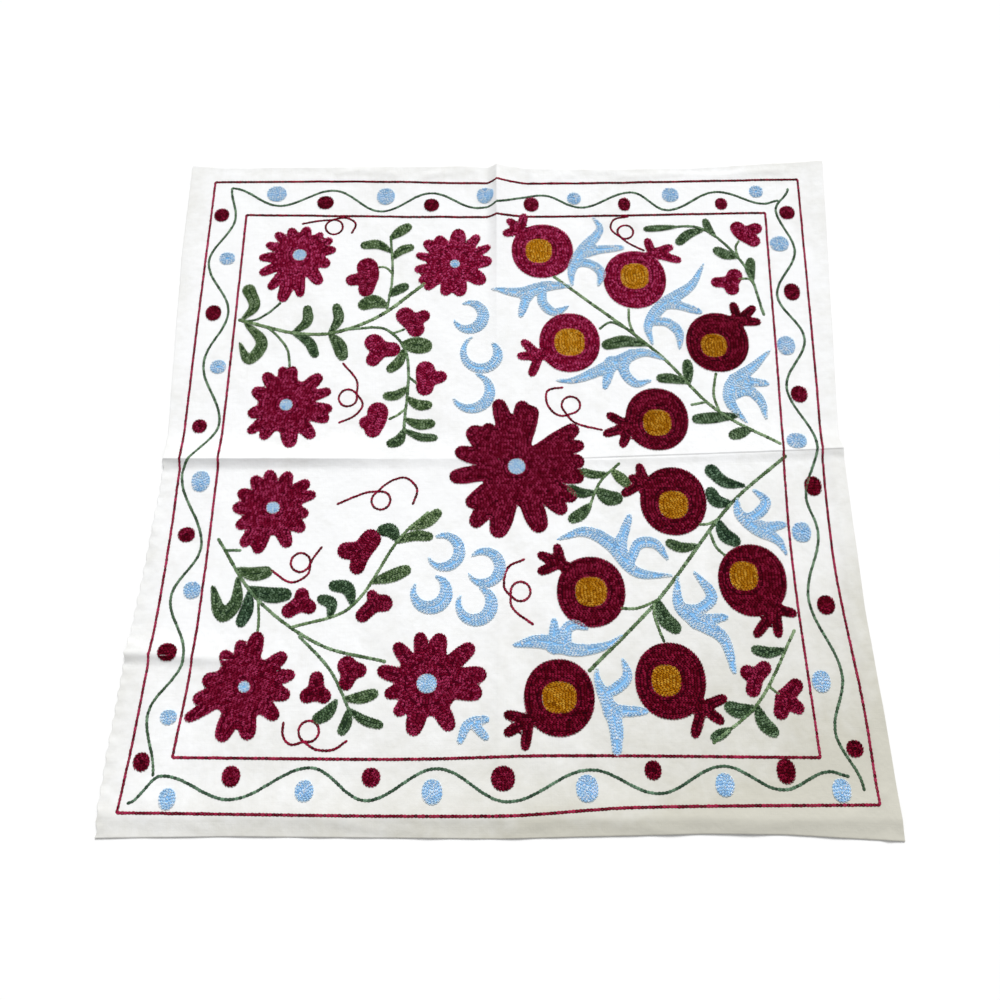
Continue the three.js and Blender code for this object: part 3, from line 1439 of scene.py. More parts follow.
OUTER_LINE = (
    BorderSide(4.5, 0.0, ((-410, 420), (-200, 420), (40, 415), (415, 420))),
    BorderSide(4.0, 0.45, ((-410, 420), (-410, 200), (-410, -100), (-420, -300), (-430, -425))),
    BorderSide(3.8, 0.35, ((415, 420), (410, 150), (405, -120), (420, -300), (425, -410))),
    BorderSide(4.3, 0.2, ((-430, -425), (0, -425), (150, -415), (425, -410))),
)
INNER_LINE = (
    BorderSide(4.5, 0.0, ((-360, 365), (0, 360), (365, 365))),
    BorderSide(4.0, 0.4, ((-360, 365), (-360, 0), (-365, -250), (-375, -365))),
    BorderSide(3.8, 0.45, ((365, 365), (360, 100), (355, -120), (365, -360))),
    BorderSide(4.3, 0.2, ((-375, -365), (-100, -365), (60, -360), (365, -360))),
)


@dataclass
class BorderLines:
    """The two burgundy lines that frame the border, each sewn as four sides."""

    relief: Relief
    sides: tuple[BorderSide, ...] = OUTER_LINE + INNER_LINE

    def build(self) -> list[bpy.types.Object]:
        """Sews every side.

        Returns:
            The finished pieces.
        """
        work = Needlework("border_lines", self.relief, seed=21)
        for side in self.sides:
            work.line(side.path, side.width, side.dye_and_sheen)
        return [work.finished(BURGUNDY)]


def swing_path(turns: Sequence[Point], along: int) -> list[Point]:
    """A wave that swings evenly from turn to turn.

    Args:
        turns: The wave's turning points.
        along: 0 for a wave that runs along X, 1 for one along Y.

    Returns:
        Places close together along the wave.
    """
    shares = np.linspace(0, 1, SWING_PLACES, endpoint=False)
    eased = (1 - np.cos(math.pi * shares)) / 2
    path: list[Point] = []
    for first, last in zip(turns, turns[1:]):
        steps = (shares, eased) if along == 0 else (eased, shares)
        across = first[0] + (last[0] - first[0]) * steps[0]
        upward = first[1] + (last[1] - first[1]) * steps[1]
        path += list(zip(across.tolist(), upward.tolist()))
    return [*path, turns[-1]]


@dataclass
class BorderVine:
    """The wavy green vine round the border: one line a side, each given by its turns."""

    relief: Relief
    width: float = 4.2
    far_turns: tuple[Point, ...] = (
        (-385, 410), (-315, 380), (-240, 405), (-170, 370), (-100, 400), (-35, 375), (55, 395),
        (110, 375), (180, 400), (230, 370), (300, 400), (365, 380), (385, 385),
    )
    right_turns: tuple[Point, ...] = (
        (400, 405), (380, 370), (400, 305), (370, 235), (400, 170), (370, 100), (400, 20),
        (380, -50), (390, -95), (370, -175), (400, -270), (385, -330), (410, -395),
    )
    left_turns: tuple[Point, ...] = (
        (-385, 410), (-375, 360), (-405, 290), (-370, 210), (-395, 135), (-365, 50), (-405, -20),
        (-370, -115), (-400, -180), (-375, -250), (-410, -320), (-395, -385),
    )
    near_turns: tuple[Point, ...] = (
        (-420, -415), (-385, -385), (-305, -410), (-215, -375), (-150, -410), (-70, -375),
        (10, -410), (105, -375), (180, -400), (255, -370), (320, -395), (375, -375), (395, -380),
    )

    def build(self) -> list[bpy.types.Object]:
        """Sews the four sides.

        Returns:
            The finished pieces.
        """
        work = Needlework("border_vine", self.relief, seed=22)
        for turns, along, dye_and_sheen in (
            (self.far_turns, 0, 0.1),
            (self.right_turns, 1, 0.1),
            (self.left_turns, 1, 0.15),
            (self.near_turns, 0, 0.0),
        ):
            work.line(swing_path(turns, along), self.width, dye_and_sheen)
        return [work.finished(GREEN)]


class Dot(NamedTuple):
    """A filled dot of the border."""

    x: float
    y: float
    across: float
    along: float


BLUE_DOTS = (
    Dot(-320, 400, 13, 12), Dot(-165, 395, 12, 13), Dot(-25, 395, 11, 12), Dot(100, 390, 9, 9),
    Dot(235, 395, 11, 11), Dot(355, 400, 9, 9), Dot(-380, 295, 10, 9), Dot(-375, 130, 10, 9),
    Dot(-380, -30, 11, 13), Dot(-375, -170, 10, 10), Dot(-385, -320, 9, 8), Dot(-375, -410, 9, 11),
    Dot(-220, -400, 10, 11), Dot(-75, -400, 11, 13), Dot(100, -395, 12, 14), Dot(255, -390, 10, 12),
    Dot(385, -395, 10, 12), Dot(380, 315, 12, 11), Dot(375, 160, 11, 13), Dot(375, 25, 12, 10),
    Dot(370, -95, 11, 12), Dot(375, -275, 10, 12),
)
RED_DOTS = (
    Dot(-250, 385, 11, 10), Dot(-100, 380, 10, 10), Dot(40, 380, 10, 11), Dot(170, 380, 8, 10),
    Dot(305, 380, 8, 9), Dot(-395, 365, 10, 10), Dot(-390, 210, 10, 11), Dot(-390, 45, 9, 9),
    Dot(-390, -100, 10, 9), Dot(-395, -245, 11, 10), Dot(-410, -370, 9, 10), Dot(-305, -385, 10, 11),
    Dot(-145, -385, 10, 10), Dot(5, -385, 13, 13), Dot(175, -375, 9, 10), Dot(325, -375, 10, 13),
    Dot(395, 365, 10, 10), Dot(390, 240, 10, 12), Dot(385, 90, 10, 11), Dot(390, -35, 10, 12),
    Dot(390, -185, 10, 11), Dot(405, -350, 9, 9),
)


@dataclass
class BorderDots:
    """The dots that sit in the bends of the vine, blue and burgundy by turns."""

    relief: Relief
    cell: float = 1.7
    squareness: float = 2.2
    dye_and_sheen_values: tuple[float, float] = (0.05, 0.4)

    def sew(self, name: str, dots: Sequence[Dot], thread: ThreadFinish, seed: int) -> bpy.types.Object:
        """Fills the dots of one colour.

        Args:
            name: The piece's name.
            dots: Its dots.
            thread: Its thread.
            seed: Where its random draws start.

        Returns:
            The finished piece.
        """
        work = Needlework(name, self.relief, seed)
        for dot in dots:
            shape = Disc(*dot, squareness=self.squareness)
            work.fill(Motif((shape,), dye_and_sheen=work.draws.uniform(*self.dye_and_sheen_values), cell=self.cell))
        return work.finished(thread)

    def build(self) -> list[bpy.types.Object]:
        """Sews both colours.

        Returns:
            The finished pieces.
        """
        return [
            self.sew("border_dots_blue", BLUE_DOTS, BLUE, 23),
            self.sew("border_dots_red", RED_DOTS, BURGUNDY, 24),
        ]


# The flowers.
class Petal(NamedTuple):
    """A petal: which way it points in degrees, how far it reaches and half its width."""

    angle: float
    reach: float
    half_width: float


class Flower(NamedTuple):
    """A flower round its blue eye, whose petals are grown together out to its core.

    Slant is the angle of its straight rows, where it has them.
    """

    x: float
    y: float
    eye: float
    core: float
    petals: tuple[Petal, ...]
    slant: float | None
    dye_and_sheen: float


# Rosettes nearer the far edge take more of the fresher thread, partly painted sheen where the light falls.
ROSETTES = (
    Flower(-280, 300, 9.5, 32, (
        Petal(80, 45, 7), Petal(50, 45, 5), Petal(30, 50, 5), Petal(10, 50, 6), Petal(-20, 45, 8),
        Petal(-55, 55, 8), Petal(-85, 65, 6), Petal(-105, 75, 8), Petal(-125, 65, 6),
        Petal(-150, 60, 6), Petal(-175, 55, 6), Petal(160, 50, 6), Petal(135, 50, 6),
        Petal(110, 45, 7),
    ), -4, 0.9),
    Flower(-65, 285, 7, 26, (
        Petal(85, 55, 10), Petal(55, 55, 6), Petal(30, 55, 5), Petal(5, 50, 8), Petal(-35, 50, 10),
        Petal(-80, 50, 10), Petal(-105, 50, 8), Petal(-135, 55, 6), Petal(-150, 55, 6),
        Petal(-170, 55, 6), Petal(165, 55, 5), Petal(140, 55, 8), Petal(120, 50, 8),
    ), None, 1.0),
    Flower(-280, 75, 8.6, 36, (
        Petal(100, 55, 6), Petal(85, 55, 7), Petal(45, 60, 8), Petal(20, 60, 6), Petal(-5, 60, 6),
        Petal(-20, 60, 8), Petal(-50, 60, 8), Petal(-80, 60, 10), Petal(-120, 55, 7),
        Petal(-140, 60, 6), Petal(-165, 50, 8), Petal(155, 50, 9), Petal(125, 55, 8),
    ), -9, 0.7),
    Flower(-285, -65, 8.5, 34, (
        Petal(100, 50, 8), Petal(70, 50, 8), Petal(40, 55, 7), Petal(20, 55, 6), Petal(-10, 45, 7),
        Petal(-35, 50, 8), Petal(-65, 55, 8), Petal(-105, 60, 8), Petal(-125, 60, 7),
        Petal(-150, 50, 7), Petal(-180, 50, 8), Petal(155, 50, 8), Petal(125, 50, 8),
    ), -8, 0.65),
    Flower(-300, -285, 7.2, 36, (
        Petal(80, 65, 9), Petal(40, 60, 8), Petal(15, 60, 7), Petal(-10, 55, 8),
        Petal(-40, 55, 8), Petal(-80, 60, 10), Petal(-110, 65, 10), Petal(-150, 75, 6),
        Petal(-165, 60, 8), Petal(170, 50, 10), Petal(125, 50, 8), Petal(100, 55, 7),
    ), -20, 0.55),
    Flower(-85, -280, 12, 36, (
        Petal(100, 60, 8), Petal(75, 60, 10), Petal(40, 70, 9), Petal(10, 70, 10), Petal(-10, 65, 10),
        Petal(-60, 60, 9), Petal(-105, 60, 10), Petal(-135, 50, 7), Petal(-165, 50, 7),
        Petal(165, 60, 8), Petal(130, 60, 8),
    ), None, 0.55),
)
CENTRE_FLOWER = Flower(20, -10, 11, 33, (
    Petal(105, 95, 10), Petal(85, 90, 10), Petal(75, 85, 9), Petal(35, 95, 10), Petal(20, 90, 8),
    Petal(5, 85, 10), Petal(-10, 85, 10), Petal(-30, 85, 9), Petal(-45, 85, 10), Petal(-70, 90, 13),
    Petal(-105, 95, 13), Petal(-125, 95, 10), Petal(-140, 80, 9), Petal(-170, 85, 10),
    Petal(165, 80, 10), Petal(140, 80, 14), Petal(125, 70, 9),
), 0, 0.35)


def petal_stroke(flower: Flower, petal: Petal) -> Stroke:
    """A petal as a stroke that widens from the middle of its flower to a round tip.

    Args:
        flower: The flower.
        petal: One of its petals.

    Returns:
        The petal's stroke.
    """
    tip_share, root_share, root_width = 0.8, 0.5, 3.0
    reach = petal.reach - tip_share * petal.half_width
    return Stroke(
        ((flower.x, flower.y), toward(flower.x, flower.y, petal.angle, reach)),
        start=root_share * petal.half_width + root_width,
        middle=petal.half_width,
        end=tip_share * petal.half_width,
        widest=0.8,
    )


@dataclass
class Flowers:
    """The great centre flower, the six rosettes and their blue eyes."""

    relief: Relief
    eye_gap: float = -0.6
    eye_flatness: float = 0.94
    eye_squareness: float = 2.2
    petal_spill: float = 1.6

    def motif(self, flower: Flower) -> Motif:
        """The burgundy shape of one flower, open round its eye.

        Args:
            flower: The flower.

        Returns:
            Its shape.
        """
        petals = tuple(petal_stroke(flower, petal) for petal in flower.petals)
        return Motif(
            (*petals, Disc(flower.x, flower.y, flower.core, flower.core)),
            holes=(self.eye(flower, self.eye_gap),),
            style=FillStyle.RINGS if flower.slant is None else FillStyle.ROWS,
            slant=flower.slant or 0.0,
            dye_and_sheen=flower.dye_and_sheen,
            spill=self.petal_spill,
        )

    def eye(self, flower: Flower, wider: float = 0.0) -> Disc:
        """The round eye of one flower, or the opening for it where it is made wider."""
        across, along = flower.eye + wider, flower.eye * self.eye_flatness + wider
        return Disc(flower.x, flower.y, across, along, self.eye_squareness)

    def build(self) -> list[bpy.types.Object]:
        """Sews the centre flower, the rosettes and the eyes.

        Returns:
            The finished pieces.
        """
        centre = Needlework("centre_flower", self.relief, seed=31)
        centre.fill(self.motif(CENTRE_FLOWER))
        rosettes = Needlework("rosettes", self.relief, seed=32)
        eyes = Needlework("flower_eyes", self.relief, seed=33)
        for flower in ROSETTES:
            rosettes.fill(self.motif(flower))
        for flower in (CENTRE_FLOWER, *ROSETTES):
            eyes.fill(Motif((self.eye(flower),), dye_and_sheen=0.6, cell=1.7, spill=0.4))
        return [centre.finished(BURGUNDY), rosettes.finished(BURGUNDY), eyes.finished(BLUE)]


# The pomegranates.
class Pomegranate(NamedTuple):
    """A pomegranate: its skin, its gold heart, and its crown's root and tips."""

    skin: Disc
    heart: Disc
    root: Point
    tips: tuple[Point, Point, Point]
    dye_and_sheen: float


# Most far fruits take the fresher thread, partly painted sheen where the light falls.
FAR_POMEGRANATES = (
    Pomegranate(
        Disc(55, 305, 42, 42, 2.1), Disc(50, 305, 18, 19, 2.5),
        (25, 340), ((10, 350), (30, 360), (5, 330)), 0.9,
    ),
    Pomegranate(
        Disc(180, 260, 42, 44, 2.1), Disc(180, 265, 19, 20, 2.5),
        (205, 300), ((200, 320), (230, 310), (240, 290)), 0.9,
    ),
    Pomegranate(
        Disc(90, 165, 40, 43, 2.1), Disc(90, 165, 20, 20, 2.5),
        (50, 145), ((30, 165), (25, 145), (40, 120)), 0.9,
    ),
    Pomegranate(
        Disc(285, 165, 41, 43, 2.1), Disc(280, 160, 17, 17, 2.5),
        (315, 195), ((310, 220), (335, 215), (340, 195)), 0.15,
    ),
    Pomegranate(
        Disc(200, 55, 40, 43, 2.1), Disc(200, 50, 18, 18, 2.5),
        (165, 45), ((140, 60), (135, 35), (155, 20)), 0.22,
    ),
)
NEAR_POMEGRANATES = (
    Pomegranate(
        Disc(215, -55, 41, 44, 2.1), Disc(215, -60, 18, 18, 2.5),
        (180, -30), ((175, -10), (165, -25), (155, -45)), 0.2,
    ),
    Pomegranate(
        Disc(110, -170, 41, 43, 2.1), Disc(110, -170, 19, 18, 2.5),
        (75, -135), ((70, -115), (50, -125), (50, -145)), 0.25,
    ),
    Pomegranate(
        Disc(305, -155, 41, 44, 2.1), Disc(295, -150, 17, 18, 2.5),
        (330, -190), ((350, -195), (330, -220), (305, -220)), 0.15,
    ),
    Pomegranate(
        Disc(70, -295, 41, 44, 2.1), Disc(70, -295, 20, 18, 2.5),
        (35, -320), ((10, -315), (10, -335), (30, -350)), 0.15,
    ),
    Pomegranate(
        Disc(200, -275, 41, 44, 2.1), Disc(195, -275, 17, 18, 2.5),
        (235, -305), ((260, -295), (255, -320), (225, -335)), 0.15,
    ),
)


@dataclass
class Pomegranates:
    """The ten pomegranates: burgundy skin and three-pronged crown round a gold heart."""

    relief: Relief
    prong: float = 6.0
    neck: float = 6.5
    spill: float = 0.5
    overlap: float = 0.7

    def skin(self, fruit: Pomegranate) -> Motif:
        """The burgundy skin and crown of a fruit.

        Args:
            fruit: The fruit.

        Returns:
            Its shape, open round its heart.
        """
        thin = self.prong - 1
        prongs = [Stroke((fruit.root, tip), thin, self.prong, thin, 0.75) for tip in fruit.tips]
        middle = (fruit.skin.x, fruit.skin.y)
        neck = Stroke((middle, fruit.root), self.neck, self.neck, self.neck)
        heart = fruit.heart
        hole = Disc(
            heart.x, heart.y, heart.across - self.overlap, heart.along - self.overlap, heart.squareness
        )
        return Motif(
            (fruit.skin, neck, *prongs),
            holes=(hole,),
            style=FillStyle.ROWS,
            dye_and_sheen=fruit.dye_and_sheen,
            spill=self.spill,
        )

    def build(self) -> list[bpy.types.Object]:
        """Sews the skins of the far and near fruits, then all hearts.

        Returns:
            The finished pieces.
        """
        pieces = []
        for name, fruits, seed in (
            ("pomegranates_far", FAR_POMEGRANATES, 41), ("pomegranates_near", NEAR_POMEGRANATES, 42),
        ):
            work = Needlework(name, self.relief, seed)
            for fruit in fruits:
                work.fill(self.skin(fruit))
            pieces.append(work.finished(BURGUNDY))
        hearts = Needlework("pomegranate_hearts", self.relief, seed=43)
        for fruit in (*FAR_POMEGRANATES, *NEAR_POMEGRANATES):
            # Hearts of fruits in the fresher thread are lighter too, partly painted sheen.
            dye_and_sheen = 0.9 if fruit.dye_and_sheen > 0.5 else 0.45
            hearts.fill(Motif((fruit.heart,), (), FillStyle.ROWS, slant=12, dye_and_sheen=dye_and_sheen, cell=2.0, spill=0.4))
        return [*pieces, hearts.finished(GOLD)]


# The stems, leaves and buds.
class Stem(NamedTuple):
    """A green stem sewn as one line of chain stitch."""

    width: float
    path: tuple[Point, ...]


MAIN_STEMS = (
    Stem(6.2, ((-355, 200), (-280, 180), (-225, 180), (-165, 205), (-105, 255))),
    Stem(4.4, ((-155, 215), (-150, 265), (-155, 330))),
    Stem(4.8, ((-205, 185), (-155, 185), (-125, 145), (-125, 40))),
    Stem(5.4, ((355, 20), (275, 70), (205, 150), (70, 265))),
    Stem(4.8, ((350, 205), (330, 280), (275, 340), (210, 340))),
    Stem(5.0, ((-350, -105), (-295, -180), (-215, -235), (-135, -255))),
    Stem(4.8, ((-250, -215), (-180, -190), (-125, -105), (-90, -70))),
    Stem(4.6, ((-240, -225), (-200, -265), (-175, -310))),
    Stem(5.4, ((360, 5), (285, -60), (190, -180), (105, -265))),
    Stem(4.4, ((150, -5), (125, -30), (110, -65))),
    Stem(4.6, ((350, -215), (300, -300), (245, -345))),
)
TWIGS = (
    Stem(4.4, ((-345, 200), (-330, 200), (-315, 210), (-300, 225))),
    Stem(4.4, ((-315, 185), (-300, 175), (-285, 155), (-280, 130))),
    Stem(4.2, ((-170, 280), (-160, 280), (-150, 270))),
    Stem(4.2, ((-130, 185), (-145, 180))),
    Stem(4.2, ((-145, 170), (-150, 185))),
    Stem(4.2, ((-125, 115), (-110, 105))),
    Stem(4.2, ((-145, 55), (-135, 60), (-130, 70))),
    Stem(4.4, ((170, 190), (145, 195), (130, 185))),
    Stem(4.4, ((180, 180), (170, 195), (170, 215))),
    Stem(4.4, ((280, 65), (275, 90), (280, 120))),
    Stem(4.4, ((265, 80), (245, 75))),
    Stem(4.2, ((325, 320), (320, 310), (325, 295))),
    Stem(4.2, ((320, 260), (335, 260), (345, 250))),
    Stem(4.4, ((-340, -120), (-330, -120), (-320, -120))),
    Stem(4.2, ((-295, -185), (-290, -205), (-290, -220))),
    Stem(4.4, ((270, -80), (255, -85), (245, -85))),
    Stem(4.4, ((260, -95), (265, -115), (275, -125))),
    Stem(4.4, ((190, -180), (165, -190), (145, -190))),
    Stem(4.4, ((185, -185), (185, -200), (195, -230))),
    Stem(4.0, ((310, -275), (320, -275))),
    Stem(4.0, ((320, -285), (325, -290))),
)


def grown_from(place: Point, stems: Sequence[Stem], reach: float = 8.0) -> Point:
    """The nearest place on the stems, or the place itself where no stem is in reach.

    Args:
        place: Where something grows.
        stems: The stems that it may grow from.
        reach: How far off a stem may be.

    Returns:
        The place that it grows from.
    """
    lines = np.concatenate([smooth_path(stem.path, PATH_STEP)[:, :2] for stem in stems])
    gaps = np.hypot(*(lines - place).T)
    nearest = int(gaps.argmin())
    return tuple(lines[nearest].tolist()) if gaps[nearest] < reach else place


def joined_twigs() -> list[Stem]:
    """The twigs, with an end that is close to a main stem moved onto it.

    Returns:
        The twigs as they are sewn.
    """
    joined = []
    for twig in TWIGS:
        first = grown_from(twig.path[0], MAIN_STEMS)
        last = grown_from(twig.path[-1], MAIN_STEMS)
        joined.append(Stem(twig.width, (first, *twig.path[1:-1], last)))
    return joined


STEMS = (*MAIN_STEMS, *joined_twigs())


@dataclass
class Stems:
    """All the green stems that carry the flowers, leaves and buds."""

    relief: Relief
    dye_and_sheen_values: tuple[float, float] = (0.2, 0.6)

    def build(self) -> list[bpy.types.Object]:
        """Sews every stem.

        Returns:
            The finished pieces.
        """
        work = Needlework("stems", self.relief, seed=51)
        for stem in STEMS:
            work.line(stem.path, stem.width, dye_and_sheen=work.draws.uniform(*self.dye_and_sheen_values))
        return [work.finished(GREEN)]


class Leaf(NamedTuple):
    """A club-shaped leaf from its base. Bend is how far its middle bows to the left of its way."""

    x: float
    y: float
    length: float
    angle: float
    width: float
    bend: float = 0.0
    dye_and_sheen: float = 0.6


LEAVES = (
    Leaf(-155, 325, 35, 40, 14, 1),
    Leaf(-155, 305, 45, 165, 13, -6),
    Leaf(-150, 295, 35, 35, 12, 3),
    Leaf(-145, 235, 30, 35, 13, 1, 0.4),
    Leaf(-155, 220, 40, 175, 19, -6),
    Leaf(-280, 180, 45, 65, 13, -9, 0.5),
    Leaf(-230, 180, 45, 80, 13, -7, 0.5),
    Leaf(-280, 180, 50, -45, 13, 6, 0.3),
    Leaf(-230, 175, 45, -60, 17, 3, 0.5),
    Leaf(-130, 165, 40, -5, 23, 0),
    Leaf(-130, 155, 40, -120, 13, 4),
    Leaf(-125, 100, 35, -155, 12, 4),
    Leaf(-125, 85, 35, -20, 13, -4),
    Leaf(-125, 55, 40, -10, 13, -4),
    Leaf(-120, 40, 45, -15, 10, -4, 0.4),
    Leaf(-125, 40, 30, -130, 13, 5, 0.4),
    Leaf(195, 165, 60, 180, 16, -5, 0.4),
    Leaf(245, 105, 35, 90, 13, 0, 0.4),
    Leaf(240, 105, 40, 170, 13, -2, 0.4),
    Leaf(305, 60, 60, -175, 14, 0, 0.3),
    Leaf(320, 45, 30, -160, 14, 0, 0.4),
    Leaf(275, 335, 45, -150, 13, -4, 0.4),
    Leaf(295, 330, 30, 115, 10, 2, 0.4),
    Leaf(325, 295, 35, 160, 14, 2, 0.4),
    Leaf(345, 260, 35, 90, 13, 2, 0.4),
    Leaf(240, 345, 45, -175, 9, 0, 0.4),
    Leaf(-325, -145, 45, -5, 16, -4, 0.5),
    Leaf(-305, -165, 55, -10, 18, -4, 0.2),
    Leaf(-305, -170, 45, -100, 15, 3, 0.1),
    Leaf(-115, -90, 45, 30, 14, -3, 0.7),
    Leaf(-125, -110, 45, 10, 12, 4, 0.6),
    Leaf(-130, -105, 30, 145, 16, -6, 0.2),
    Leaf(-155, -160, 50, 20, 15, -1, 0.6),
    Leaf(-180, -185, 40, 135, 15, -10, 0.2),
    Leaf(-205, -205, 30, 115, 13, -9, 0.2),
    Leaf(-185, -300, 40, 10, 13, -2, 0.5),
    Leaf(-190, -300, 35, -135, 14, 3, 0.3),
    Leaf(-175, -315, 30, -105, 12, 2, 0.3),
    Leaf(-170, -315, 45, -25, 10, -3, 0.3),
    Leaf(285, -55, 35, 150, 16, 7, 0.1),
    Leaf(270, -80, 40, -55, 16, -5, 0.1),
    Leaf(245, -115, 40, 175, 12, 4, 0.4),
    Leaf(190, -180, 45, -60, 17, -5, 0.3),
    Leaf(135, -20, 35, 175, 10, 3, 0.5),
    Leaf(140, -15, 30, -45, 13, 0, 0.8),
    Leaf(120, -45, 35, 170, 12, 4, 0.3),
    Leaf(120, -40, 35, -25, 18, -4, 0.4),
    Leaf(115, -60, 35, -140, 14, 2, 0.4),
    Leaf(340, -240, 40, 180, 12, 3, 0.3),
    Leaf(265, -330, 25, -155, 11, 0, 0.3),
    Leaf(295, -305, 35, 180, 16, 4, 0.3),
    Leaf(300, -305, 40, -60, 15, -4, 0.3),
)
CURVED_LEAVES = (
    (Stroke(((-350, 200), (-335, 220), (-345, 245)), 1.5, 7.5, 8.5, 0.75), 0.6),
    (Stroke(((-345, 195), (-320, 165), (-335, 140), (-350, 165)), 2, 7.5, 1, 0.5), 0.6),
    (Stroke(((-320, -155), (-320, -185), (-335, -200), (-350, -165)), 2, 8, 1.5, 0.5), 0.4),
    (Stroke(((305, -35), (280, -30), (265, -15)), 1.5, 7, 8, 0.75), 0.1),
)


@dataclass
class Leaves:
    """The green leaves, each in its own shade."""

    relief: Relief
    cell: float = 1.6
    base: float = 1.6
    tip_share: float = 0.8

    def stroke(self, leaf: Leaf) -> Stroke:
        """A leaf as a stroke that starts thin and ends round.

        Args:
            leaf: The leaf.

        Returns:
            Its stroke from base to tip.
        """
        half = leaf.width / 2
        base = grown_from((leaf.x, leaf.y), STEMS)
        tip = toward(*base, leaf.angle, leaf.length - self.tip_share * half)
        middle = toward(*base, leaf.angle, leaf.length / 2)
        bowed = toward(*middle, leaf.angle + 90, leaf.bend)
        return Stroke((base, bowed, tip), self.base, half, self.tip_share * half, 0.7)

    def build(self) -> list[bpy.types.Object]:
        """Fills every leaf.

        Returns:
            The finished pieces.
        """
        work = Needlework("leaves", self.relief, seed=52)
        strokes = [(self.stroke(leaf), leaf.dye_and_sheen) for leaf in LEAVES]
        for stroke, dye_and_sheen in (*strokes, *CURVED_LEAVES):
            work.fill(Motif((stroke,), dye_and_sheen=dye_and_sheen, cell=self.cell))
        return [work.finished(GREEN)]


class Lobe(NamedTuple):
    """A round lobe of a bud."""

    x: float
    y: float
    radius: float


class Bud(NamedTuple):
    """A bud whose lobes grow out of one middle."""

    middle: Lobe
    lobes: tuple[Lobe, Lobe, Lobe]


BUDS = (
    Bud(Lobe(-180, 265, 11), (Lobe(-185, 280, 14), Lobe(-205, 260, 8), Lobe(-185, 245, 10))),
    Bud(Lobe(-120, 195, 12), (Lobe(-130, 205, 12), Lobe(-105, 205, 8), Lobe(-115, 185, 11))),
    Bud(Lobe(-160, 155, 11), (Lobe(-170, 165, 12), Lobe(-145, 155, 10), Lobe(-170, 140, 9))),
    Bud(Lobe(-100, 110, 11), (Lobe(-100, 125, 12), Lobe(-80, 115, 8), Lobe(-100, 100, 11))),
    Bud(Lobe(-160, 50, 10), (Lobe(-160, 65, 13), Lobe(-175, 50, 8), Lobe(-165, 40, 10))),
    Bud(Lobe(330, 330, 9), (Lobe(325, 340, 10), Lobe(350, 340, 8), Lobe(345, 320, 9))),
    Bud(Lobe(310, 255, 9), (Lobe(315, 265, 10), Lobe(290, 255, 7), Lobe(310, 245, 9))),
    Bud(Lobe(-170, -120, 12), (Lobe(-160, -105, 12), Lobe(-190, -120, 10), Lobe(-175, -140, 9))),
    Bud(Lobe(-240, -185, 10), (Lobe(-240, -175, 8), Lobe(-255, -195, 8), Lobe(-230, -190, 8))),
    Bud(Lobe(-150, -185, 9), (Lobe(-155, -175, 6), Lobe(-140, -185, 10), Lobe(-165, -200, 8))),
    Bud(Lobe(-215, -290, 10), (Lobe(-215, -275, 8), Lobe(-225, -295, 8), Lobe(-205, -295, 8))),
    Bud(Lobe(-175, -265, 11), (Lobe(-180, -260, 11), Lobe(-165, -265, 8), Lobe(-180, -280, 8))),
    Bud(Lobe(300, -270, 8), (Lobe(310, -260, 8), Lobe(290, -265, 8), Lobe(295, -285, 8))),
    Bud(Lobe(330, -295, 10), (Lobe(345, -280, 8), Lobe(345, -305, 7), Lobe(325, -310, 8))),
)


@dataclass
class Buds:
    """The three-lobed burgundy buds."""

    relief: Relief
    cell: float = 1.8

    def motif(self, bud: Bud, dye_and_sheen: float) -> Motif:
        """One bud, each lobe a stroke out of its middle.

        Args:
            bud: The bud.
            dye_and_sheen: The shade of its thread.

        Returns:
            Its shape.
        """
        x, y, radius = bud.middle
        strokes = (
            Stroke(((x, y), (lobe.x, lobe.y)), radius, lobe.radius, lobe.radius, 0.95)
            for lobe in bud.lobes
        )
        return Motif(tuple(strokes), dye_and_sheen=dye_and_sheen, cell=self.cell)

    def build(self) -> list[bpy.types.Object]:
        """Fills every bud.

        Returns:
            The finished pieces.
        """
        work = Needlework("buds", self.relief, seed=53)
        for bud in BUDS:
            # Buds on the far half take more of the fresher thread, partly painted sheen where the light
            # falls.
            fresh_and_sheen = 0.8 if bud.middle.y > 0 else 0.45
            work.fill(self.motif(bud, work.draws.uniform(fresh_and_sheen - 0.1, fresh_and_sheen + 0.1)))
        return [work.finished(BURGUNDY)]


# The blue scrolls and crescents, and the burgundy tendrils.
class Scroll(NamedTuple):
    """A blue scroll of three strokes: its sweep, a blunt prong and a hook.

    Foot is half the width of the sweep's far end, and widest how far along it is fullest.
    """

    sweep: tuple[Point, ...]
    prong: tuple[Point, ...]
    hook: tuple[Point, ...]
    foot: float = 0.6
    widest: float = 0.45


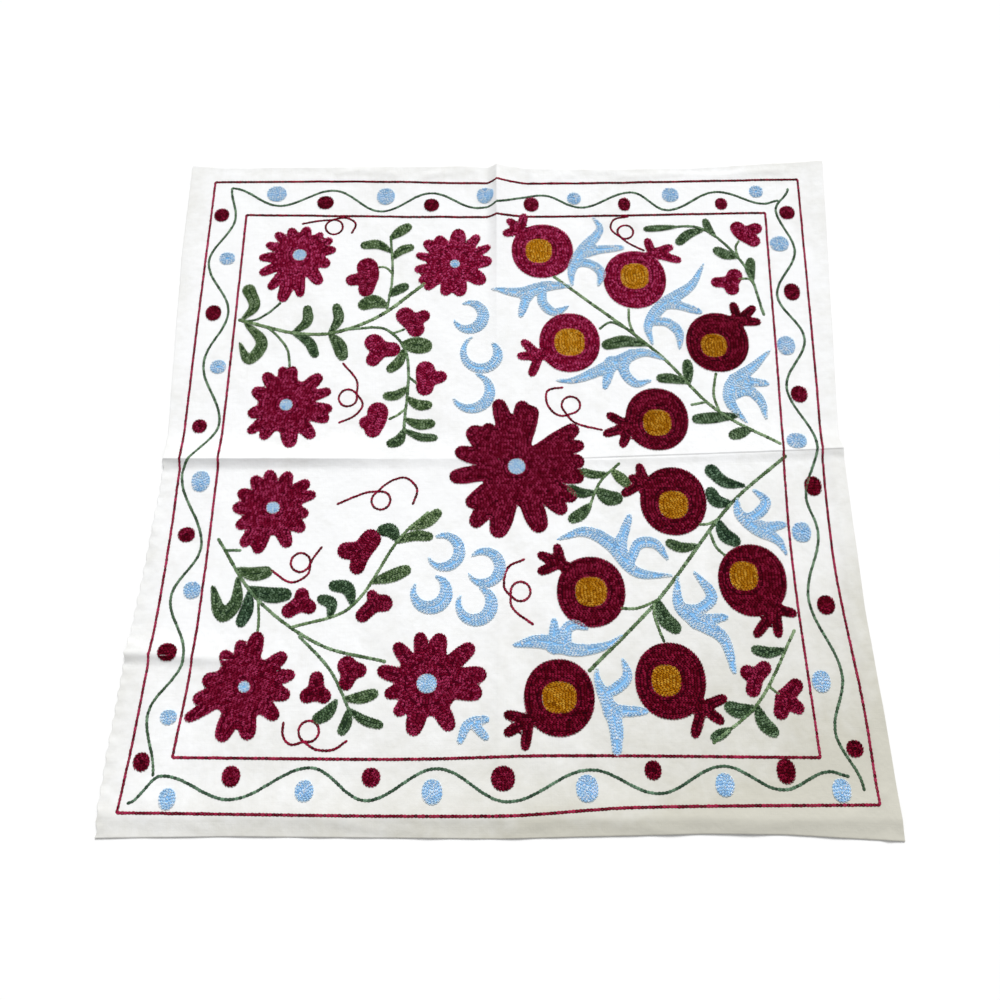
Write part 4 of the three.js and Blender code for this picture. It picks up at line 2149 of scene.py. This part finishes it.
SCROLLS = (
    Scroll(
        ((95, 250), (95, 275), (110, 305), (135, 340), (125, 360)),
        ((115, 305), (165, 310)),
        ((105, 285), (120, 285), (135, 270), (130, 250)),
    ),
    Scroll(
        ((95, 250), (60, 250), (25, 240), (-15, 245)),
        ((35, 240), (25, 205)),
        ((55, 250), (55, 225), (70, 210), (90, 220)),
    ),
    Scroll(
        ((200, 160), (195, 190), (215, 220), (255, 250), (275, 285)),
        ((225, 225), (265, 210)),
        ((205, 195), (220, 195), (235, 180), (235, 155)),
    ),
    Scroll(
        ((215, 140), (185, 150), (140, 130), (95, 110), (70, 110)),
        ((145, 135), (135, 100)),
        ((170, 150), (160, 125), (175, 105), (195, 110)),
    ),
    Scroll(
        ((315, 50), (295, 80), (300, 105), (330, 130), (355, 155)),
        ((305, 110), (345, 105)),
        ((295, 85), (320, 95), (335, 80), (340, 55)),
    ),
    Scroll(
        ((70, -105), (105, -95), (135, -110), (165, -145), (210, -150)),
        ((145, -115), (160, -75)),
        ((160, -130), (170, -110), (190, -110), (205, -130)),
    ),
    Scroll(
        ((295, -50), (295, -70), (315, -90), (340, -105), (350, -125)),
        ((320, -90), (350, -85)),
        ((300, -80), (320, -70), (330, -55), (315, -40)),
    ),
    Scroll(
        ((215, -150), (215, -185), (235, -205), (265, -225), (275, -265)),
        ((235, -205), (270, -200)),
        ((220, -190), (240, -190), (255, -175), (235, -145)),
        foot=2.2,
    ),
    Scroll(
        ((15, -235), (50, -230), (90, -240), (125, -235), (150, -220)),
        ((65, -235), (65, -205)),
        ((80, -240), (80, -215), (90, -210), (105, -215)),
        widest=0.3,
    ),
    Scroll(
        ((115, -260), (115, -275), (130, -310), (135, -330), (135, -355)),
        ((130, -310), (170, -310)),
        ((120, -290), (135, -285), (150, -270), (145, -250)),
        foot=4.5,
        widest=0.6,
    ),
)


def arc(x: float, y: float, radius: float, start: float, sweep: float, curl: float = 1.0) -> list[Point]:
    """Places round an arc.

    Args:
        x: The centre's place along X.
        y: The centre's place along Y.
        radius: How far the arc starts from its centre.
        start: The angle it starts at, in degrees.
        sweep: The angle it turns through, clockwise if negative.
        curl: Its last radius as a share of its first.

    Returns:
        Places an even turn apart, from the arc's start to its end.
    """
    return [
        toward(x, y, start + sweep * share, radius * (1 + (curl - 1) * share))
        for share in np.linspace(0, 1, ARC_PLACES).tolist()
    ]


class Crescent(NamedTuple):
    """A free blue crescent: an arc, its full width and how far along it is fullest."""

    x: float
    y: float
    radius: float
    start: float
    sweep: float
    width: float
    widest: float = 0.5
    curl: float = 1.0


CRESCENTS = (
    Crescent(-45, 205, 20, 120, -285, 15),
    Crescent(-25, 150, 28, 110, 305, 13, widest=0.75, curl=0.65),
    Crescent(-40, 95, 25, 80, -240, 14),
    Crescent(-70, -120, 20, 130, -290, 13),
    Crescent(-20, -140, 20, 150, -310, 13),
    Crescent(-85, -170, 20, 75, -290, 16, widest=0.4),
    Crescent(-30, -185, 20, 80, -300, 15, widest=0.35),
)


@dataclass
class BlueWork:
    """The blue scrolls beside the pomegranates, the crescents and one small sprig."""

    relief: Relief
    cell: float = 1.8
    crescent_tip: float = 0.4

    @staticmethod
    def scroll(scroll: Scroll) -> tuple[Shape, ...]:
        """The three strokes of a scroll.

        Args:
            scroll: The scroll.

        Returns:
            Its strokes.
        """
        return (
            Stroke(scroll.sweep, start=0.8, middle=7.8, end=scroll.foot, widest=scroll.widest),
            Stroke(scroll.prong, start=9.5, middle=5.4, end=2.8),
            Stroke(scroll.hook, start=4.5, middle=6.0, end=1.0, widest=0.45),
        )

    def build(self) -> list[bpy.types.Object]:
        """Fills the scrolls and then the crescents.

        Returns:
            The finished pieces.
        """
        scrolls = Needlework("scrolls", self.relief, seed=61)
        for scroll in SCROLLS:
            # Scrolls on the far half take more of the fresher thread, partly painted sheen where the light
            # falls.
            dye_and_sheen = 0.75 if scroll.sweep[0][1] > 0 else 0.45
            scrolls.fill(Motif(self.scroll(scroll), dye_and_sheen=dye_and_sheen, cell=self.cell))
        crescents = Needlework("crescents", self.relief, seed=62)
        for crescent in CRESCENTS:
            half = crescent.width / 2
            path = arc(
                crescent.x, crescent.y, crescent.radius, crescent.start, crescent.sweep, crescent.curl
            )
            stroke = Stroke(tuple(path), self.crescent_tip, half, self.crescent_tip, crescent.widest)
            # Crescents on the far half take more of the fresher thread, partly painted sheen where the
            # light falls.
            dye_and_sheen = 0.75 if crescent.y > 0 else 0.5
            crescents.fill(Motif((stroke,), dye_and_sheen=dye_and_sheen, cell=self.cell))
        sprig = (
            Stroke(((-45, -345), (-35, -325), (-15, -320)), 3, 4.8, 3.5),
            Stroke(((-30, -325), (-15, -340)), 4, 4.5, 3.5),
        )
        crescents.fill(Motif(sprig, dye_and_sheen=0.5, cell=self.cell))
        return [scrolls.finished(BLUE), crescents.finished(BLUE)]


class Tendril(NamedTuple):
    """A line that runs in from its lead, makes one loop and runs out along its tail."""

    lead: tuple[Point, ...]
    x: float
    y: float
    radius: float
    start: float
    sweep: float
    tail: tuple[Point, ...]


TENDRILS = (
    Tendril(((-280, 350), (-255, 355)), -235, 345, 12, 100, -350, ((-220, 360), (-205, 350), (-210, 335))),
    Tendril(((-210, 135), (-190, 110)), -200, 85, 12, 20, -340, ((-180, 75), (-190, 60), (-210, 50))),
    Tendril(((195, 305), (170, 320)), 170, 335, 11, 190, -310, ((150, 340), (155, 355), (175, 360))),
    Tendril(((130, 40), (95, 50)), 90, 75, 12, 220, -290, ((75, 60), (60, 75), (60, 95), (80, 100))),
    Tendril(((-205, -60), (-170, -45)), -150, -55, 12, 100, -340, (
        (-140, -30), (-120, -25), (-105, -40), (-110, -60),
    )),
    Tendril(((-220, -115), (-230, -130)), -245, -135, 12, -10, -340, (
        (-235, -150), (-255, -160), (-280, -145),
    )),
    Tendril(((-250, -325), (-250, -340), (-240, -350)), -220, -335, 12, -110, 340, (
        (-210, -355), (-190, -355), (-175, -345),
    )),
    Tendril(((30, -130), (10, -140), (5, -165)), 25, -170, 12, 220, 320, ((15, -190), (40, -210))),
)


@dataclass
class Tendrils:
    """The thin curling burgundy tendrils, each one line that loops over itself."""

    relief: Relief
    width: float = 3.7

    def build(self) -> list[bpy.types.Object]:
        """Sews every tendril.

        Returns:
            The finished pieces.
        """
        work = Needlework("tendrils", self.relief, seed=63)
        for tendril in TENDRILS:
            loop = arc(tendril.x, tendril.y, tendril.radius, tendril.start, tendril.sweep)
            work.line((*tendril.lead, *loop, *tendril.tail), self.width, dye_and_sheen=0.15)
        return [work.finished(BURGUNDY)]


@dataclass
class Studio:
    """The pale floor, the soft light and the camera, in metres."""

    floor_size: float = 8.0
    floor_drop: float = 0.0004
    camera_place: Point3 = (0.0184, -0.3727, 1.0154)
    camera_turn: Point3 = (17.446, 0.956, 0.403)
    lens: float = 30.6
    key_from: Point3 = (0.2, 1.25, 1.15)
    key_softness: float = 24.0
    key_strength: float = 3.0
    room_light: float = 0.42

    def build(self) -> None:
        """Sets up the floor, the lights and the camera."""
        self.add_floor()
        self.add_room_light()
        self.add_key()
        self.add_camera()

    def add_floor(self) -> None:
        """A wide pale floor just under the cloth."""
        net = bmesh.new()
        bmesh.ops.create_grid(net, x_segments=2, y_segments=2, size=self.floor_size / 2)
        bmesh.ops.translate(net, vec=(0, 0, -self.floor_drop), verts=net.verts)
        mesh = bpy.data.meshes.new("floor")
        net.to_mesh(mesh)
        net.free()
        floor = bpy.data.objects.new("floor", mesh)
        bpy.context.collection.objects.link(floor)
        material = bpy.data.materials.new("floor_paper")
        material.use_nodes = True
        board = NodeBoard(material.node_tree)
        shader = material.node_tree.nodes["Principled BSDF"]
        place = board.add("ShaderNodeTexCoord").outputs["Object"]
        mottle = Mottle.placed(board, Place=place, Broad=2.0, Fine=30.0).outputs["Mottle"]
        board.feed(shader.inputs["Base Color"], board.mix(mottle, linear("fcfcfc"), linear("f8f8f8")))
        shader.inputs["Roughness"].default_value = 0.95
        shader.inputs["Specular IOR Level"].default_value = 0.1
        mesh.materials.append(material)

    def add_room_light(self) -> None:
        """Even light from all round."""
        world = bpy.data.worlds.new("studio")
        bpy.context.scene.world = world
        world.use_nodes = True
        background = world.node_tree.nodes["Background"]
        background.inputs["Color"].default_value = (1, 1, 1, 1)
        background.inputs["Strength"].default_value = self.room_light

    def add_key(self) -> None:
        """One soft light from the far side."""
        light = bpy.data.lights.new("key", "SUN")
        light.energy = self.key_strength
        light.angle = math.radians(self.key_softness)
        key = bpy.data.objects.new("key", light)
        key.rotation_euler = Vector(self.key_from).to_track_quat("Z", "Y").to_euler()
        bpy.context.collection.objects.link(key)

    def add_camera(self) -> None:
        """The camera at the photograph's place and angle."""
        camera_data = bpy.data.cameras.new("camera")
        camera_data.lens = self.lens
        camera_data.sensor_width = 36
        camera_data.clip_start = 0.01
        camera = bpy.data.objects.new("camera", camera_data)
        camera.location = self.camera_place
        camera.rotation_euler = Euler([math.radians(turn) for turn in self.camera_turn], "XYZ")
        bpy.context.collection.objects.link(camera)
        bpy.context.scene.camera = camera
        bpy.context.scene.view_settings.view_transform = "Standard"


def main() -> None:
    logging.basicConfig(level=logging.INFO, format="%(message)s")
    Studio().build()
    relief = Relief()
    sheet = GroundCloth(relief).build()
    stitched: list[bpy.types.Object] = []
    sewn = (
        BorderLines, BorderVine, BorderDots, Flowers, Pomegranates, Stems, Leaves, Buds, BlueWork, Tendrils,
    )
    for part in sewn:
        stitched += part(relief).build()
    log.info("embroidery: %d pieces", len(stitched))


if __name__ == "__main__":
    main()
